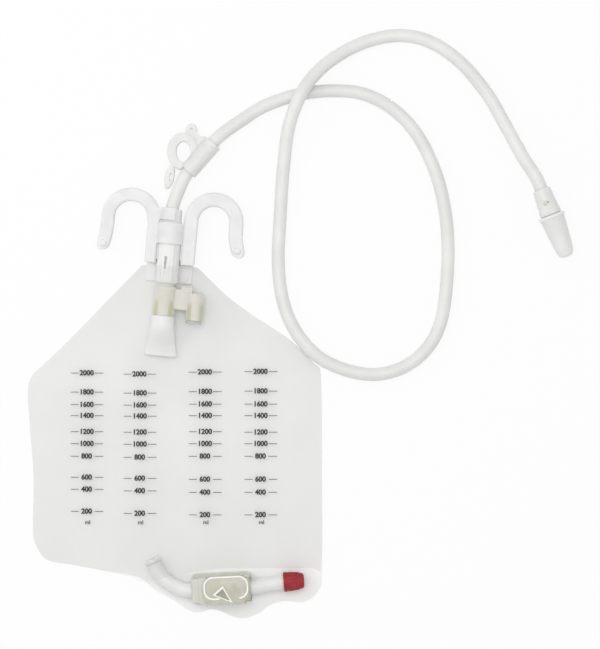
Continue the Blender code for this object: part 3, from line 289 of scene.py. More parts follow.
# %% A plastic with uneven tone
def plastic(name, pale, deep, roughness, alpha=1.0, tone_scale=60.0, grain_scale=900.0, grain=0.02, soft=0.0):
    """A plastic whose tone drifts between two colours, with a fine grain; soft is how deep light spreads."""
    look = bpy.data.materials.new(name)
    look.use_nodes = True
    nodes, links = look.node_tree.nodes, look.node_tree.links
    shader = nodes["Principled BSDF"]
    shader.inputs["Alpha"].default_value = alpha
    shader.inputs["IOR"].default_value = 1.49
    if soft:
        shader.inputs["Subsurface Weight"].default_value = 0.6
        shader.inputs["Subsurface Radius"].default_value = (1.0, 1.0, 0.95)
        shader.inputs["Subsurface Scale"].default_value = soft
    place = nodes.new("ShaderNodeTexCoord")
    tone = nodes.new("ShaderNodeTexNoise")
    tone.inputs["Scale"].default_value = tone_scale
    tone.inputs["Detail"].default_value = 3
    ramp = nodes.new("ShaderNodeValToRGB")
    ramp.color_ramp.elements[0].position = 0.35
    ramp.color_ramp.elements[0].color = (*deep, 1)
    ramp.color_ramp.elements[1].position = 0.65
    ramp.color_ramp.elements[1].color = (*pale, 1)
    links.new(place.outputs["Object"], tone.inputs["Vector"])
    links.new(tone.outputs["Fac"], ramp.inputs["Fac"])
    links.new(ramp.outputs["Color"], shader.inputs["Base Color"])
    rough = nodes.new("ShaderNodeMapRange")
    rough.inputs["To Min"].default_value = roughness - 0.05
    rough.inputs["To Max"].default_value = roughness + 0.08
    links.new(tone.outputs["Fac"], rough.inputs["Value"])
    links.new(rough.outputs["Result"], shader.inputs["Roughness"])
    fine = nodes.new("ShaderNodeTexNoise")
    fine.inputs["Scale"].default_value = grain_scale
    fine.inputs["Detail"].default_value = 2
    bump = nodes.new("ShaderNodeBump")
    bump.inputs["Strength"].default_value = 1.0
    bump.inputs["Distance"].default_value = grain * 0.001
    links.new(place.outputs["Object"], fine.inputs["Vector"])
    links.new(fine.outputs["Fac"], bump.inputs["Height"])
    links.new(bump.outputs["Normal"], shader.inputs["Normal"])
    return look


# %% The finishes
LOOKS = {
    "front_film": plastic(
        "frosted_front_film", (0.64, 0.64, 0.63), (0.60, 0.60, 0.59), 0.50, alpha=0.08, tone_scale=22,
        grain=0.05
    ),
    "back_film": plastic(
        "frosted_back_film", (0.86, 0.86, 0.85), (0.83, 0.83, 0.82), 0.50, tone_scale=18, grain=0.05
    ),
    "valve": plastic("thin_valve_film", (0.89, 0.89, 0.88), (0.86, 0.86, 0.85), 0.50),
    "milky": plastic(
        "milky_polypropylene", (0.79, 0.79, 0.79), (0.74, 0.74, 0.74), 0.45, tone_scale=90, grain=0.03,
        soft=0.002
    ),
    "chamber": plastic(
        "milky_chamber", (0.81, 0.81, 0.795), (0.77, 0.77, 0.755), 0.42, tone_scale=90, soft=0.003
    ),
    "tube": plastic(
        "soft_clear_vinyl", (0.78, 0.78, 0.77), (0.72, 0.72, 0.705), 0.42, tone_scale=35, grain=0.015,
        soft=0.004
    ),
    "yellow": plastic(
        "aged_yellow_vinyl", (0.76, 0.735, 0.665), (0.71, 0.685, 0.61), 0.40, tone_scale=120, soft=0.002
    ),
    "outlet": plastic(
        "clear_outlet_vinyl", (0.77, 0.77, 0.76), (0.73, 0.73, 0.715), 0.42, tone_scale=120, soft=0.004
    ),
    "clamp": plastic(
        "yellowed_clamp_plastic", (0.71, 0.71, 0.65), (0.64, 0.64, 0.57), 0.42, alpha=0.9, tone_scale=110,
        grain=0.03
    ),
    "lever": plastic(
        "clear_lever_plastic", (0.63, 0.615, 0.53), (0.54, 0.525, 0.42), 0.36, alpha=0.9, tone_scale=140,
        grain=0.03
    ),
    # The raised line's pale colour is a painted highlight along the clamp lever's raised rim.
    "line": plastic("raised_line_painted_highlight", (0.92, 0.93, 0.87), (0.88, 0.89, 0.83), 0.40, tone_scale=110),
    "arrow": plastic("grey_arrow", (0.42, 0.42, 0.36), (0.34, 0.34, 0.28), 0.45, tone_scale=300),
    "plug": plastic("green_yellow_plug", (0.645, 0.655, 0.53), (0.55, 0.56, 0.43), 0.5, tone_scale=300),
    # Dark green painted shade, for the dark hole of a bore in the connector's side plug.
    "dark": plastic("painted_bore_shade", (0.20, 0.21, 0.12), (0.14, 0.15, 0.08), 0.5, tone_scale=200),
    "clip": plastic("milky_clip", (0.77, 0.77, 0.76), (0.72, 0.72, 0.71), 0.42, tone_scale=110, soft=0.003),
    "connector": plastic(
        "milky_connector", (0.78, 0.78, 0.77), (0.73, 0.73, 0.72), 0.40, tone_scale=110, soft=0.003
    ),
    "cap": plastic("milky_cap", (0.82, 0.82, 0.81), (0.77, 0.77, 0.76), 0.42, tone_scale=90, soft=0.003),
    "red": plastic("red_vinyl", (0.34, 0.014, 0.022), (0.25, 0.008, 0.014), 0.55, tone_scale=160, grain=0.03),
    "filter": plastic(
        "grey_filter", (0.60, 0.60, 0.57), (0.50, 0.50, 0.47), 0.75, tone_scale=500, grain=0.08
    ),
    "ink": plastic(
        "black_ink", (0.016, 0.016, 0.016), (0.010, 0.010, 0.010), 0.5, tone_scale=300, grain=0.01
    ),
}
print("finishes", sorted(LOOKS))


# %% Painted shade along the yellow sleeves' walls
def sleeve_walls(look, edge_shade_tint):
    """Paints shade on the thick walls of the two sleeves, in bands found by their distance across from each
    sleeve's axis, where the walls are seen edge-on from above.
    """
    nodes, links = look.node_tree.nodes, look.node_tree.links
    shader, ramp = nodes["Principled BSDF"], nodes["Color Ramp"]

    def math_node(operation, first, second=0.0, third=0.0):
        node = nodes.new("ShaderNodeMath")
        node.operation = operation
        for socket, value in zip(node.inputs, (first, second, third)):
            if isinstance(value, float):
                socket.default_value = value
            else:
                links.new(value, socket)
        return node.outputs[0]

    inverse = FITMENTS.inverted()
    place = nodes.new("ShaderNodeMapping")
    place.inputs["Location"].default_value = inverse.translation
    place.inputs["Rotation"].default_value = inverse.to_euler()
    links.new(nodes["Texture Coordinate"].outputs["Object"], place.inputs["Vector"])
    split = nodes.new("ShaderNodeSeparateXYZ")
    links.new(place.outputs["Vector"], split.inputs["Vector"])
    walls = []
    for axis, wall in ((0.0, 0.0057), (0.0250, 0.0046)):
        off_axis = math_node("ABSOLUTE", math_node("SUBTRACT", split.outputs["X"], axis))
        off_wall = math_node("ABSOLUTE", math_node("SUBTRACT", off_axis, wall))
        walls.append(math_node("SUBTRACT", 1.4, math_node("DIVIDE", off_wall, 0.0016)))
    either = nodes.new("ShaderNodeClamp")
    links.new(math_node("MAXIMUM", *walls), either.inputs["Value"])
    low = nodes.new("ShaderNodeMapRange")
    low.inputs["From Min"].default_value, low.inputs["From Max"].default_value = -0.0260, -0.0300
    links.new(split.outputs["Y"], low.inputs["Value"])
    blend = nodes.new("ShaderNodeMix")
    blend.data_type = "RGBA"
    blend.inputs["B"].default_value = (*edge_shade_tint, 1)
    links.new(math_node("MULTIPLY", either.outputs[0], low.outputs[0]), blend.inputs["Factor"])
    links.new(ramp.outputs["Color"], blend.inputs["A"])
    links.new(blend.outputs["Result"], shader.inputs["Base Color"])


# Painted shade on the sleeves' walls where they show edge-on, only on their lower part.
sleeve_walls(LOOKS["yellow"], (0.56, 0.57, 0.36))

# %% [markdown]
# ## Inlet tube
# The tube is a metre of soft vinyl hose, pushed into the top of the drip chamber. It lies on the
# table in one wide loop and passes over itself in a long low hump. A curve with a round section
# keeps its width exactly. Its points follow the solid's route, but for the first one on the table,
# which is set so that the smoothed curve runs through the clip's saddle without touching it.

# %% Route of the tube
TUBE_DIAMETER = 0.0103
IN_SOCKET = [tuple(FITMENTS @ Vector((0, 0.0343 + 0.0206 * step, 0))) for step in (0.0, 0.35, 0.7)]
ON_THE_TABLE = [
    (0.0083, 0.1774, 0.0063),
    (0.0207, 0.1928, 0.0059), (0.0339, 0.2078, 0.0058), (0.0500, 0.2200, 0.0053), (0.0720, 0.2336, 0.00525),
    (0.0989, 0.2425, 0.00525), (0.1258, 0.2452, 0.00525), (0.1495, 0.2425, 0.00525),
    (0.1716, 0.2311, 0.00525),
    (0.1898, 0.2125, 0.00525), (0.2032, 0.1872, 0.00525), (0.2115, 0.1596, 0.00525),
    (0.2153, 0.1280, 0.00525),
    (0.2143, 0.0924, 0.00525), (0.2095, 0.0624, 0.00525), (0.1985, 0.0419, 0.00525),
    (0.1811, 0.0280, 0.00525),
    (0.1590, 0.0219, 0.00525), (0.1353, 0.0253, 0.00525), (0.1132, 0.0359, 0.00525),
    (0.0958, 0.0553, 0.00525),
    (0.0855, 0.0798, 0.00525), (0.0818, 0.1106, 0.00525), (0.0834, 0.1477, 0.00525), (0.0859, 0.1849, 0.0058),
    (0.0903, 0.2165, 0.0114), (0.0997, 0.2413, 0.0164), (0.1140, 0.2607, 0.0119), (0.1353, 0.2767, 0.0058),
    (0.1574, 0.2857, 0.00525), (0.1795, 0.2887, 0.00525), (0.2016, 0.2836, 0.00525),
    (0.2246, 0.2682, 0.00525),
    (0.2459, 0.2433, 0.00525), (0.2605, 0.2180, 0.0060), (0.2735, 0.1939, 0.0082), (0.2840, 0.1770, 0.0105),
]
IN_CONNECTOR = [tuple(CONNECTOR @ Vector((run, 0, 0))) for run in (0.0, 0.011)]


def smooth_path(points, steps):
    """A smooth curve through the points, with so many steps between neighbours."""
    known = [np.array(p, dtype=float) for p in points]
    known = [2 * known[0] - known[1]] + known + [2 * known[-1] - known[-2]]
    path = []
    for a, b, c, d in zip(known, known[1:], known[2:], known[3:]):
        for t in np.arange(steps) / steps:
            path.append(0.5 * (
                2 * b + (c - a) * t + (2 * a - 5 * b + 4 * c - d) * t**2 + (3 * b - a - 3 * c + d) * t**3
            ))
    path.append(known[-2])
    return np.array(path)


def path_length(path):
    return float(np.linalg.norm(np.diff(path, axis=0), axis=1).sum())


tube_path = smooth_path(IN_SOCKET + ON_THE_TABLE + IN_CONNECTOR, 10)
tube_length = path_length(tube_path)
print("tube length in m", round(tube_length, 3))


# %% Tube as a curve
def hose(name, path, diameter, look, sides=8):
    """A curve of round section that follows the path."""
    line = bpy.data.curves.new(name, "CURVE")
    line.dimensions = "3D"
    line.bevel_depth = diameter / 2
    line.bevel_resolution = sides
    line.use_fill_caps = True
    spline = line.splines.new("POLY")
    spline.points.add(len(path) - 1)
    for point, place in zip(spline.points, path):
        point.co = (*place, 1)
    piece = bpy.data.objects.new(name, line)
    bpy.context.scene.collection.objects.link(piece)
    return wear(piece, look)


long_tube = hose("long_tube", tube_path, TUBE_DIAMETER, LOOKS["tube"])
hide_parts("inlet_tube")

# %% [markdown]
# ## The two films
# The bag's body is two sheets of film of 0.35 mm, welded together all round. The back film runs on
# below the lower weld as a loose flap that carries the clamp. A film is one flat sheet, so it is
# made as one net of small triangles inside its outline, and each point is then raised by a height.
# The front film rises in a shallow pillow, and stands up like a tent over what lies between the
# films.

# %% Outline of the films
MOUTH = [(-0.0256, 0.1080), (0.0178, 0.1062)]
LEFT_SIDE = [
    (-0.0361, 0.0972), (-0.0519, 0.0814), (-0.0749, 0.0575), (-0.0948, 0.0378),
    (-0.1080, 0.0257), (-0.1132, 0.0198), (-0.1161, 0.0079), (-0.1143, -0.0205),
    (-0.1115, -0.0616), (-0.1120, -0.1011), (-0.1092, -0.1138), (-0.1005, -0.1248),
    (-0.0788, -0.1288), (-0.0567, -0.1331), (-0.0346, -0.1367), (-0.0251, -0.1402),
]
FLAP = [
    (-0.0156, -0.1485), (0.0002, -0.1572), (0.0120, -0.1651), (0.0199, -0.1661),
    (0.0286, -0.1637), (0.0373, -0.1656), (0.0456, -0.1693), (0.0555, -0.1707),
    (0.0666, -0.1667), (0.0752, -0.1604), (0.0871, -0.1572), (0.1009, -0.1582),
    (0.1092, -0.1541), (0.1147, -0.1465), (0.1163, -0.1351),
]
LOWER_WELD = [(-0.0160, -0.1396), (0.0010, -0.1352), (0.0300, -0.1316), (0.1040, -0.1308), (0.1155, -0.1285)]
RIGHT_SIDE = [
    (0.1163, -0.0577), (0.1155, 0.0190), (0.1108, 0.0296), (0.0910, 0.0490),
    (0.0594, 0.0700), (0.0417, 0.0832), (0.0278, 0.0964),
]


def film_outline(lower, steps=8):
    """The outline from the mouth's left corner round to its right corner."""
    return smooth_path(MOUTH[:1] + LEFT_SIDE + lower + RIGHT_SIDE + MOUTH[1:], steps)


def loop_area(loop):
    x, y = loop[:, 0], loop[:, 1]
    return abs(0.5 * float(np.dot(x, np.roll(y, -1)) - np.dot(y, np.roll(x, -1))))


front_loop, back_loop = film_outline(LOWER_WELD), film_outline(FLAP)
print("film areas in m2", round(loop_area(front_loop), 4), round(loop_area(back_loop), 4))


# %% A net of triangles inside an outline
def way_along(points):
    """How far along its line each point lies."""
    return np.concatenate([[0], np.cumsum(np.linalg.norm(np.diff(points, axis=0), axis=1))])


def even_loop(loop, spacing):
    """Points at even distances round a closed outline."""
    closed = np.vstack([loop, loop[:1]])
    run = way_along(closed)
    count = int(run[-1] / spacing)
    at = np.linspace(0, run[-1], count, endpoint=False)
    return np.stack([np.interp(at, run, closed[:, k]) for k in (0, 1)], axis=1)


def distance_to_loop(points, loop, mouth=True):
    """Distance from each point to the nearest part of the outline, with or without its mouth."""
    starts, ends = loop, np.roll(loop, -1, axis=0)
    if not mouth:
        starts, ends = starts[:-1], ends[:-1]
    runs = ends - starts
    nearest = np.full(len(points), 9.0)
    for start, run in zip(starts, runs):
        rel = points - start
        t = np.clip((rel @ run) / max(run @ run, 1e-12), 0, 1)
        nearest = np.minimum(nearest, np.linalg.norm(rel - t[:, None] * run, axis=1))
    return nearest


def inside_loop(points, loop):
    inside = np.zeros(len(points), bool)
    for (ax, ay), (bx, by) in zip(loop, np.roll(loop, -1, axis=0)):
        crosses = (ay > points[:, 1]) != (by > points[:, 1])
        reach = (bx - ax) * (points[:, 1] - ay) / (by - ay if by != ay else 1e-12) + ax
        inside ^= crosses & (points[:, 0] < reach)
    return inside


def film_net(name, loop, spacing=0.0022):
    """A flat net of triangles of even size that fills the outline exactly."""
    rim = even_loop(loop, spacing)
    low, high = rim.min(0), rim.max(0)
    rows = []
    for row, y in enumerate(np.arange(low[1], high[1], spacing * 0.866)):
        xs = np.arange(low[0] + (row % 2) * spacing / 2, high[0], spacing)
        rows.append(np.stack([xs, np.full(len(xs), y)], axis=1))
    grid = np.vstack(rows)
    grid = grid[inside_loop(grid, rim)]
    grid = grid[distance_to_loop(grid, rim) > spacing * 0.6]
    points = [Vector(p) for p in np.vstack([rim, grid])]
    edges = [(i, (i + 1) % len(rim)) for i in range(len(rim))]
    verts, _, faces, *_ = geometry.delaunay_2d_cdt(points, edges, [], 1, 1e-7)
    mesh = bpy.data.meshes.new(name)
    mesh.from_pydata([(v.x, v.y, 0) for v in verts], [], faces)
    piece = bpy.data.objects.new(name, mesh)
    bpy.context.scene.collection.objects.link(piece)
    shape = bmesh.new()
    shape.from_mesh(mesh)
    if sum(face.normal.z for face in shape.faces) < 0:
        bmesh.ops.reverse_faces(shape, faces=shape.faces)
    shape.to_mesh(mesh)
    shape.free()
    return piece


# %% Height of the front film
FILM = 0.00035
FRONT_Z = 0.00065
WELD = 0.0060
TENT_ROOM = 0.0008
TENT_FLAT = 0.0035
TENT_SPREAD = 0.034


def fade(value):
    t = np.clip(value, 0, 1)
    return t * t * (3 - 2 * t)


COVERED = [
    (FITMENTS, (-0.0093, -0.0465), (0.0093, 0.0020), 0.01925),
    (FITMENTS, (-0.0125, -0.0590), (0.0125, -0.0465), 0.01440),
    (FITMENTS, (-0.0125, -0.0715), (0.0125, -0.0590), 0.00810),
    (FITMENTS, (0.0093, -0.0415), (0.0311, -0.0170), 0.01665),
    (Matrix.Identity(4), (-0.0225, -0.1370), (-0.0090, -0.1215), 0.01325),
    (Matrix.Identity(4), (-0.0180, -0.1500), (0.0020, -0.1340), 0.01325),
]


def tents(points):
    """How far the film is lifted by the pieces that it covers."""
    lift = np.zeros(len(points))
    for matrix, low, high, top in COVERED:
        inverse = np.array(matrix.inverted())
        local = points @ inverse[:2, :2].T + inverse[:2, 3]
        across = np.maximum(np.maximum(low[0] - local[:, 0], local[:, 0] - high[0]), 0)
        along = np.maximum(np.maximum(low[1] - local[:, 1], local[:, 1] - high[1]), 0)
        away = np.hypot(across, along) - TENT_FLAT
        lift = np.maximum(lift, (top + TENT_ROOM - FRONT_Z) * (1 - fade(away / TENT_SPREAD)))
    return lift


def wrinkles(points):
    """Long soft folds that run down from the hanger, and small puckers across the film."""
    spread = np.arctan2(points[:, 0] + 0.005, 0.150 - points[:, 1])
    reach = np.hypot(points[:, 0] + 0.005, points[:, 1] - 0.150)
    folds = np.sin(spread * 31 + 2.2 * np.sin(reach * 26)) * np.exp(-((reach - 0.13) / 0.06) ** 2)
    slow = np.array([noise.noise(Vector((x * 28, y * 19, 0.3))) for x, y in points])
    quick = np.array([noise.noise(Vector((x * 90, y * 64, 4.1))) for x, y in points])
    return 0.00030 * folds + 0.00055 * slow + 0.00016 * quick


# %% Front film
front_film = film_net("front_sheet", front_loop)
flat = np.array([v.co[:2] for v in front_film.data.vertices])
inward = distance_to_loop(flat, front_loop, mouth=False)
pillow = 0.0022 * fade((inward - WELD) / 0.045)
loose = fade((inward - WELD) / 0.02)
height = pillow + loose * (0.0006 + wrinkles(flat))
tented = tents(flat) * np.where(flat[:, 1] > 0, fade(inward / WELD), 1.0)
height = np.maximum(np.maximum(height, tented), 0)
weld_line = 0.00022 * np.exp(-((inward - WELD) / 0.0006) ** 2)
for vert, z in zip(front_film.data.vertices, FRONT_Z + height + weld_line):
    vert.co.z = z
apply_modifier(front_film, "SOLIDIFY", thickness=FILM, offset=1.0)
bpy.ops.object.shade_smooth_by_angle(angle=math.radians(50))
wear(front_film, LOOKS["front_film"])
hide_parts("front_film")

# %% Back film
back_film = film_net("back_sheet", back_loop, 0.0030)
apply_modifier(back_film, "SOLIDIFY", thickness=FILM, offset=1.0)
bpy.ops.object.shade_smooth_by_angle(angle=math.radians(50))
wear(back_film, LOOKS["back_film"])
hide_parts("back_film")

# %% [markdown]
# ## The printed scale
# Four columns of plain numbers tell how many millilitres are in the bag. Ink is a skin on the film,
# so each number is a text turned into a mesh, made a hair thick, and laid point by point on the
# film's own height. The strokes of the real print are bold, so the text is fattened a little.

# %% Height of the print
def film_top(x, y):
    """Height of the front film's upper side at a place."""
    hit, place, *_ = front_film.ray_cast(Vector((x, y, 0.1)), Vector((0, 0, -1)))
    return place.z if hit else FRONT_Z + FILM


def lay_on_film(piece, lift=0.00006):
    """Sets each point of a thin flat piece on the film below it."""
    for vert in piece.data.vertices:
        vert.co.z = film_top(vert.co.x, vert.co.y) + lift + (0.00005 if vert.co.z > 0 else 0)


def printed_text(name, words, x, y, size, fat=0.00023):
    """A bold number whose middle is at x, y."""
    bpy.ops.object.select_all(action="DESELECT")
    bpy.ops.object.text_add(location=(x, y, 0))
    text = bpy.context.object
    text.name = name
    text.data.body = words
    text.data.size = size
    text.data.align_x = "CENTER"
    text.data.align_y = "CENTER"
    text.data.offset = fat
    text.data.extrude = 0.00004
    text.data.resolution_u = 4
    bpy.ops.object.convert(target="MESH")
    edit(bpy.context.object, "VERT")
    bpy.ops.mesh.remove_doubles(threshold=0.000002)
    bpy.ops.mesh.normals_make_consistent(inside=False)
    close_edit()
    return settle(bpy.context.object, Matrix.Identity(4))


def printed_bar(name, left, right, y, thick=0.00045):
    """A short straight tick line."""
    tick = start_from(bpy.ops.mesh.primitive_cube_add, name, size=1, location=((left + right) / 2, y, 0))
    tick.scale = (right - left, thick, 0.00008)
    bpy.ops.object.transform_apply(location=False, scale=True)
    edit(tick, "EDGE")
    bpy.ops.mesh.subdivide(number_cuts=2)
    close_edit()
    return settle(tick, Matrix.Identity(4))


# %% Numbers and ticks
def from_photo(px, py):
    """The camera view is 600 by 649 points, at 0.79 mm each."""
    return (px - 174.75) * 0.00079, (402 - py) * 0.00079


GRADES = [2000, 1800, 1600, 1400, 1200, 1000, 800, 600, 400, 200]
COLUMNS = [
    (87.0, (373, 392, 404.5, 415.5, 431.5, 443.5, 456, 477, 489, 511)),
    (140.0, (374, 393, 405, 416, 432, 444, 457, 478, 490.5, 513)),
    (205.0, (372, 391.5, 404, 415.5, 431.5, 443.5, 456, 479, 492, 514.5)),
    (260.5, (371.5, 391, 404, 415.5, 432, 443.5, 456, 479, 492, 514.5)),
]

printed = []
for column, (middle, rows) in enumerate(COLUMNS):
    for grade, row in zip(GRADES, rows):
        x, y = from_photo(middle, row)
        printed.append(printed_text(f"print_{column}_{grade}", str(grade), x, y, 0.0056))
        for side, left, right in (("left", -0.0126, -0.0063), ("right", 0.0064, 0.0132)):
            printed.append(printed_bar(f"{side}_tick_{column}_{grade}", x + left, x + right, y))
    x, y = from_photo(middle + 1, 522)
    printed.append(printed_text(f"unit_{column}", "ml", x, y, 0.0044, 0.00008))
for piece in printed:
    lay_on_film(piece)
pick(*printed)
bpy.ops.object.join()
scale_print = bpy.context.object
scale_print.name = scale_print.data.name = "printed_scale"
wear(scale_print, LOOKS["ink"])

# %% [markdown]
# ## Hanger
# The hanger is one moulding: two flat hooks, a collar round the drip chamber, an open cradle round
# the chamber's neck, and a flange that is welded between the films. A hook could be a bent strip or
# a swept curve. Here its rounded section is drawn up the stem, spun over the arch and drawn down to
# the tip, so every stretch keeps its true width. The overlapping solids are then melted into one
# skin, which gives the soft inner corners of a moulding. The flange lies under the film, and it's a
# piece of its own so that it can be paler than the hooks: its paler colour is painted light that
# offsets the shade it lies in under the film.

# %% Shapes for mouldings
def block(name, low, high, corner, segments=3):
    """A box between two corners, with its edges rounded."""
    piece = start_from(bpy.ops.mesh.primitive_cube_add, name, size=1)
    piece.scale = [b - a for a, b in zip(low, high)]
    piece.location = [(a + b) / 2 for a, b in zip(low, high)]
    bpy.ops.object.transform_apply(location=True, scale=True)
    edit(piece, "EDGE")
    bpy.ops.mesh.bevel(offset=corner, segments=segments)
    close_edit()
    return piece


def section_face(name, place, width, thick, corner):
    """A rounded rectangle that faces along +Y, opened in edit mode and selected."""
    piece = start_from(bpy.ops.mesh.primitive_plane_add, name, size=1, rotation=(math.radians(-90), 0, 0))
    piece.scale = (width, thick, 1)
    piece.location = place
    bpy.ops.object.transform_apply(location=True, rotation=True, scale=True)
    edit(piece, "VERT")
    bpy.ops.mesh.bevel(offset=corner, segments=3, affect="VERTICES")
    bpy.ops.mesh.select_mode(type="FACE")
    bpy.ops.mesh.select_all(action="SELECT")
    return piece


def draw_on(place, step, scale=(1, 1, 1)):
    """Extrudes the selected end by a step, scales it about its new middle, and returns that middle."""
    bpy.ops.mesh.extrude_region_move(TRANSFORM_OT_translate={"value": step})
    there = tuple(p + s for p, s in zip(place, step))
    bpy.ops.transform.resize(value=scale, center_override=there)
    return there


def close_solid(piece, matrix):
    """Turns all faces outward, leaves edit mode, and puts the piece in its frame."""
    bpy.ops.mesh.select_all(action="SELECT")
    bpy.ops.mesh.normals_make_consistent(inside=False)
    close_edit()
    return settle(piece, matrix)


def melt(name, pieces, voxel, rounds):
    """Joins overlapping solids and melts them into one skin."""
    pick(*pieces)
    bpy.ops.object.join()
    piece = bpy.context.object
    piece.name = piece.data.name = name
    moulded(piece, voxel, rounds)
    return piece


# %% Hooks
STEM_IN = 0.0096
BAR = 0.0060


def hook(name, side, stem_width, bar_width, radius, spring_line, drop, flare):
    """One hook, drawn up its stem, spun over the arch, and drawn down to its round tip."""
    stem = side * (STEM_IN + stem_width / 2)
    end = (stem, 0.0014, 0)
    piece = section_face(name, end, stem_width, BAR, 0.0018)
    end = draw_on(end, (0, spring_line - 0.0054, 0))
    end = draw_on(end, (0, 0.0040, 0), (bar_width / stem_width, 1, 1))
    bpy.ops.mesh.spin(
        steps=24, angle=side * math.pi, center=(stem + side * radius, end[1], 0), axis=(0, 0, 1)
    )
    end = (stem + 2 * side * radius, end[1], 0)
    end = draw_on(end, (side * 0.14 * flare, -0.55 * drop, 0))
    end = draw_on(end, (side * 0.86 * flare, -0.45 * drop, 0))
    tilt = math.atan2(0.86 * flare, 0.45 * drop)
    before = 0
    for degrees in (25, 45, 62, 76, 86):
        now = math.radians(degrees)
        step = bar_width / 2 * (math.sin(now) - math.sin(before))
        scale = math.cos(now) / math.cos(before)
        end = draw_on(end, (side * step * math.sin(tilt), -step * math.cos(tilt), 0), (scale, 1, 0.97))
        before = now
    return close_solid(piece, FITMENTS), tuple(
        FITMENTS @ Vector((side * (abs(stem) + 2 * radius + flare), spring_line - drop, 0))
    )


right_hook, right_tip = hook("right_hook", 1, 0.0112, 0.0112, 0.0177, 0.0373, 0.0211, 0.0029)
left_hook, left_tip = hook("left_hook", -1, 0.0091, 0.0105, 0.01795, 0.0353, 0.0223, 0.0018)
nubs = []
for side, tip in (("right", right_tip), ("left", left_tip)):
    rings = [(0.0024, 0.0026), (0.0023, 0.0036), (0.0018, 0.0041), (0.0008, 0.0042)]
    nubs.append(turned(f"{side}_nub", rings, Matrix.Translation(tip), 24))
print("hooks", right_hook.name, left_hook.name, "open edges", open_edges(right_hook), open_edges(left_hook))

# %% Collar, cradle and flange
COLLAR = FITMENTS @ Matrix.Diagonal((1, 1, 0.881, 1)) @ UP_THE_AXIS
ROOM = FITMENTS @ Matrix.Diagonal((1, 1, 0.8645, 1)) @ UP_THE_AXIS
collar = turned(
    "collar", [(0.0102, 0.0168), (0.0106, 0.0174), (0.0106, 0.0330), (0.0102, 0.0336)], COLLAR, 64
)
collar = join_solids(
    collar, [turned("collar_room", [(0.0093, 0.015), (0.0093, 0.036)], ROOM, 64)], "DIFFERENCE"
)
cradle = turned(
    "cradle", [(0.0087, 0.0355), (0.0091, 0.0360), (0.0091, 0.0447), (0.0087, 0.0452)], COLLAR, 64
)
neck_room = turned("neck_room", [(0.0078, 0.034), (0.0078, 0.047)], ROOM, 64)
mouth = settle(block("cradle_mouth", (0.0031, 0.034, -0.012), (0.012, 0.047, 0.012), 0.0003), FITMENTS)
cradle = join_solids(cradle, [neck_room, mouth], "DIFFERENCE")
bridge = settle(block("bridge", (-0.0187, 0.0357, -0.0026), (-0.0084, 0.0450, 0.0026), 0.0006), FITMENTS)
flange = settle(block("flange", (-0.0172, -0.0130, -0.0093), (0.0193, 0.0050, -0.0080), 0.0004), FITMENTS)
feet = [
    settle(block("left_foot", (-0.0169, 0.0014, -0.0087), (-0.0102, 0.0050, 0.0), 0.0004), FITMENTS),
    settle(block("right_foot", (0.0102, 0.0014, -0.0087), (0.0190, 0.0050, 0.0), 0.0004), FITMENTS),
]
hanger = melt("hanger_moulding", [right_hook, left_hook, collar, cradle, bridge] + feet + nubs, 0.00045, 3)
wear(hanger, LOOKS["milky"])
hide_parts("hanger")
flange.name = flange.data.name = "hanger_flange"
# The flange is the hooks' plastic in the paler valve finish, as painted light against its shade under the
# film.
wear(flange, LOOKS["valve"])

# %% [markdown]
# ## Drip chamber
# The chamber is a round capsule, slightly flattened, with a narrower neck that grips the tube and a
# spigot that goes down into the bag's port. It's turned from rings, with a recess in the neck for
# the tube. Three raised ribs run down its face, and a narrow wedge of a slot lies between them.

# %% Drip chamber
CHAMBER = FITMENTS @ Matrix.Diagonal((1, 1, 0.86, 1)) @ UP_THE_AXIS
chamber = turned("drip_chamber_shell", [
    (0.0034, -0.0340), (0.0060, -0.0340), (0.0065, -0.0334), (0.0066, -0.0142), (0.0078, -0.0140),
    (0.0087, -0.0134), (0.0090, -0.0124), (0.0090, 0.0328), (0.0087, 0.0337), (0.0079, 0.0343),
    (0.0075, 0.0354), (0.0075, 0.0438), (0.0072, 0.0444), (0.0060, 0.0445), (0.0056, 0.0441),
    (0.0055, 0.0345),
], CHAMBER, 64)
wedge_top = (-0.0016, 0.0068, 0.0070)
wedge = section_face("wedge", wedge_top, 0.0022, 0.0060, 0.0004)
draw_on(wedge_top, (0, -0.0108, 0), (0.3, 1, 1))
close_solid(wedge, FITMENTS)
chamber = join_solids(chamber, [wedge], "DIFFERENCE")
ribs = []
for number, (across, low, high) in enumerate((
    (-0.0068, -0.0125, 0.0155), (-0.0038, -0.0125, 0.0000), (0.0036, -0.0125, 0.0155)
)):
    rise = 0.00774 * math.sqrt(1 - (across / 0.009) ** 2)
    place = (across, low, rise - 0.0004)
    rib = section_face(f"rib_{number}", place, 0.0012, 0.0022, 0.0005)
    end = draw_on(place, (0, high - low - 0.002, 0))
    draw_on(end, (0, 0.002, -0.0003), (0.6, 1, 0.7))
    ribs.append(close_solid(rib, FITMENTS))
chamber = melt("drip_chamber_shell", [chamber] + ribs, 0.00035, 2)
wear(chamber, LOOKS["chamber"])
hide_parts("drip_chamber")

# %% [markdown]
# ## Ports under the film
# Below the chamber lie a yellow sleeve that takes the chamber's spigot and, beside it, a short vent
# sleeve, joined by a web. They are turned solids with turned bores cut out. The one-way valve is a
# flat sleeve of thin film that hangs from the yellow sleeve.

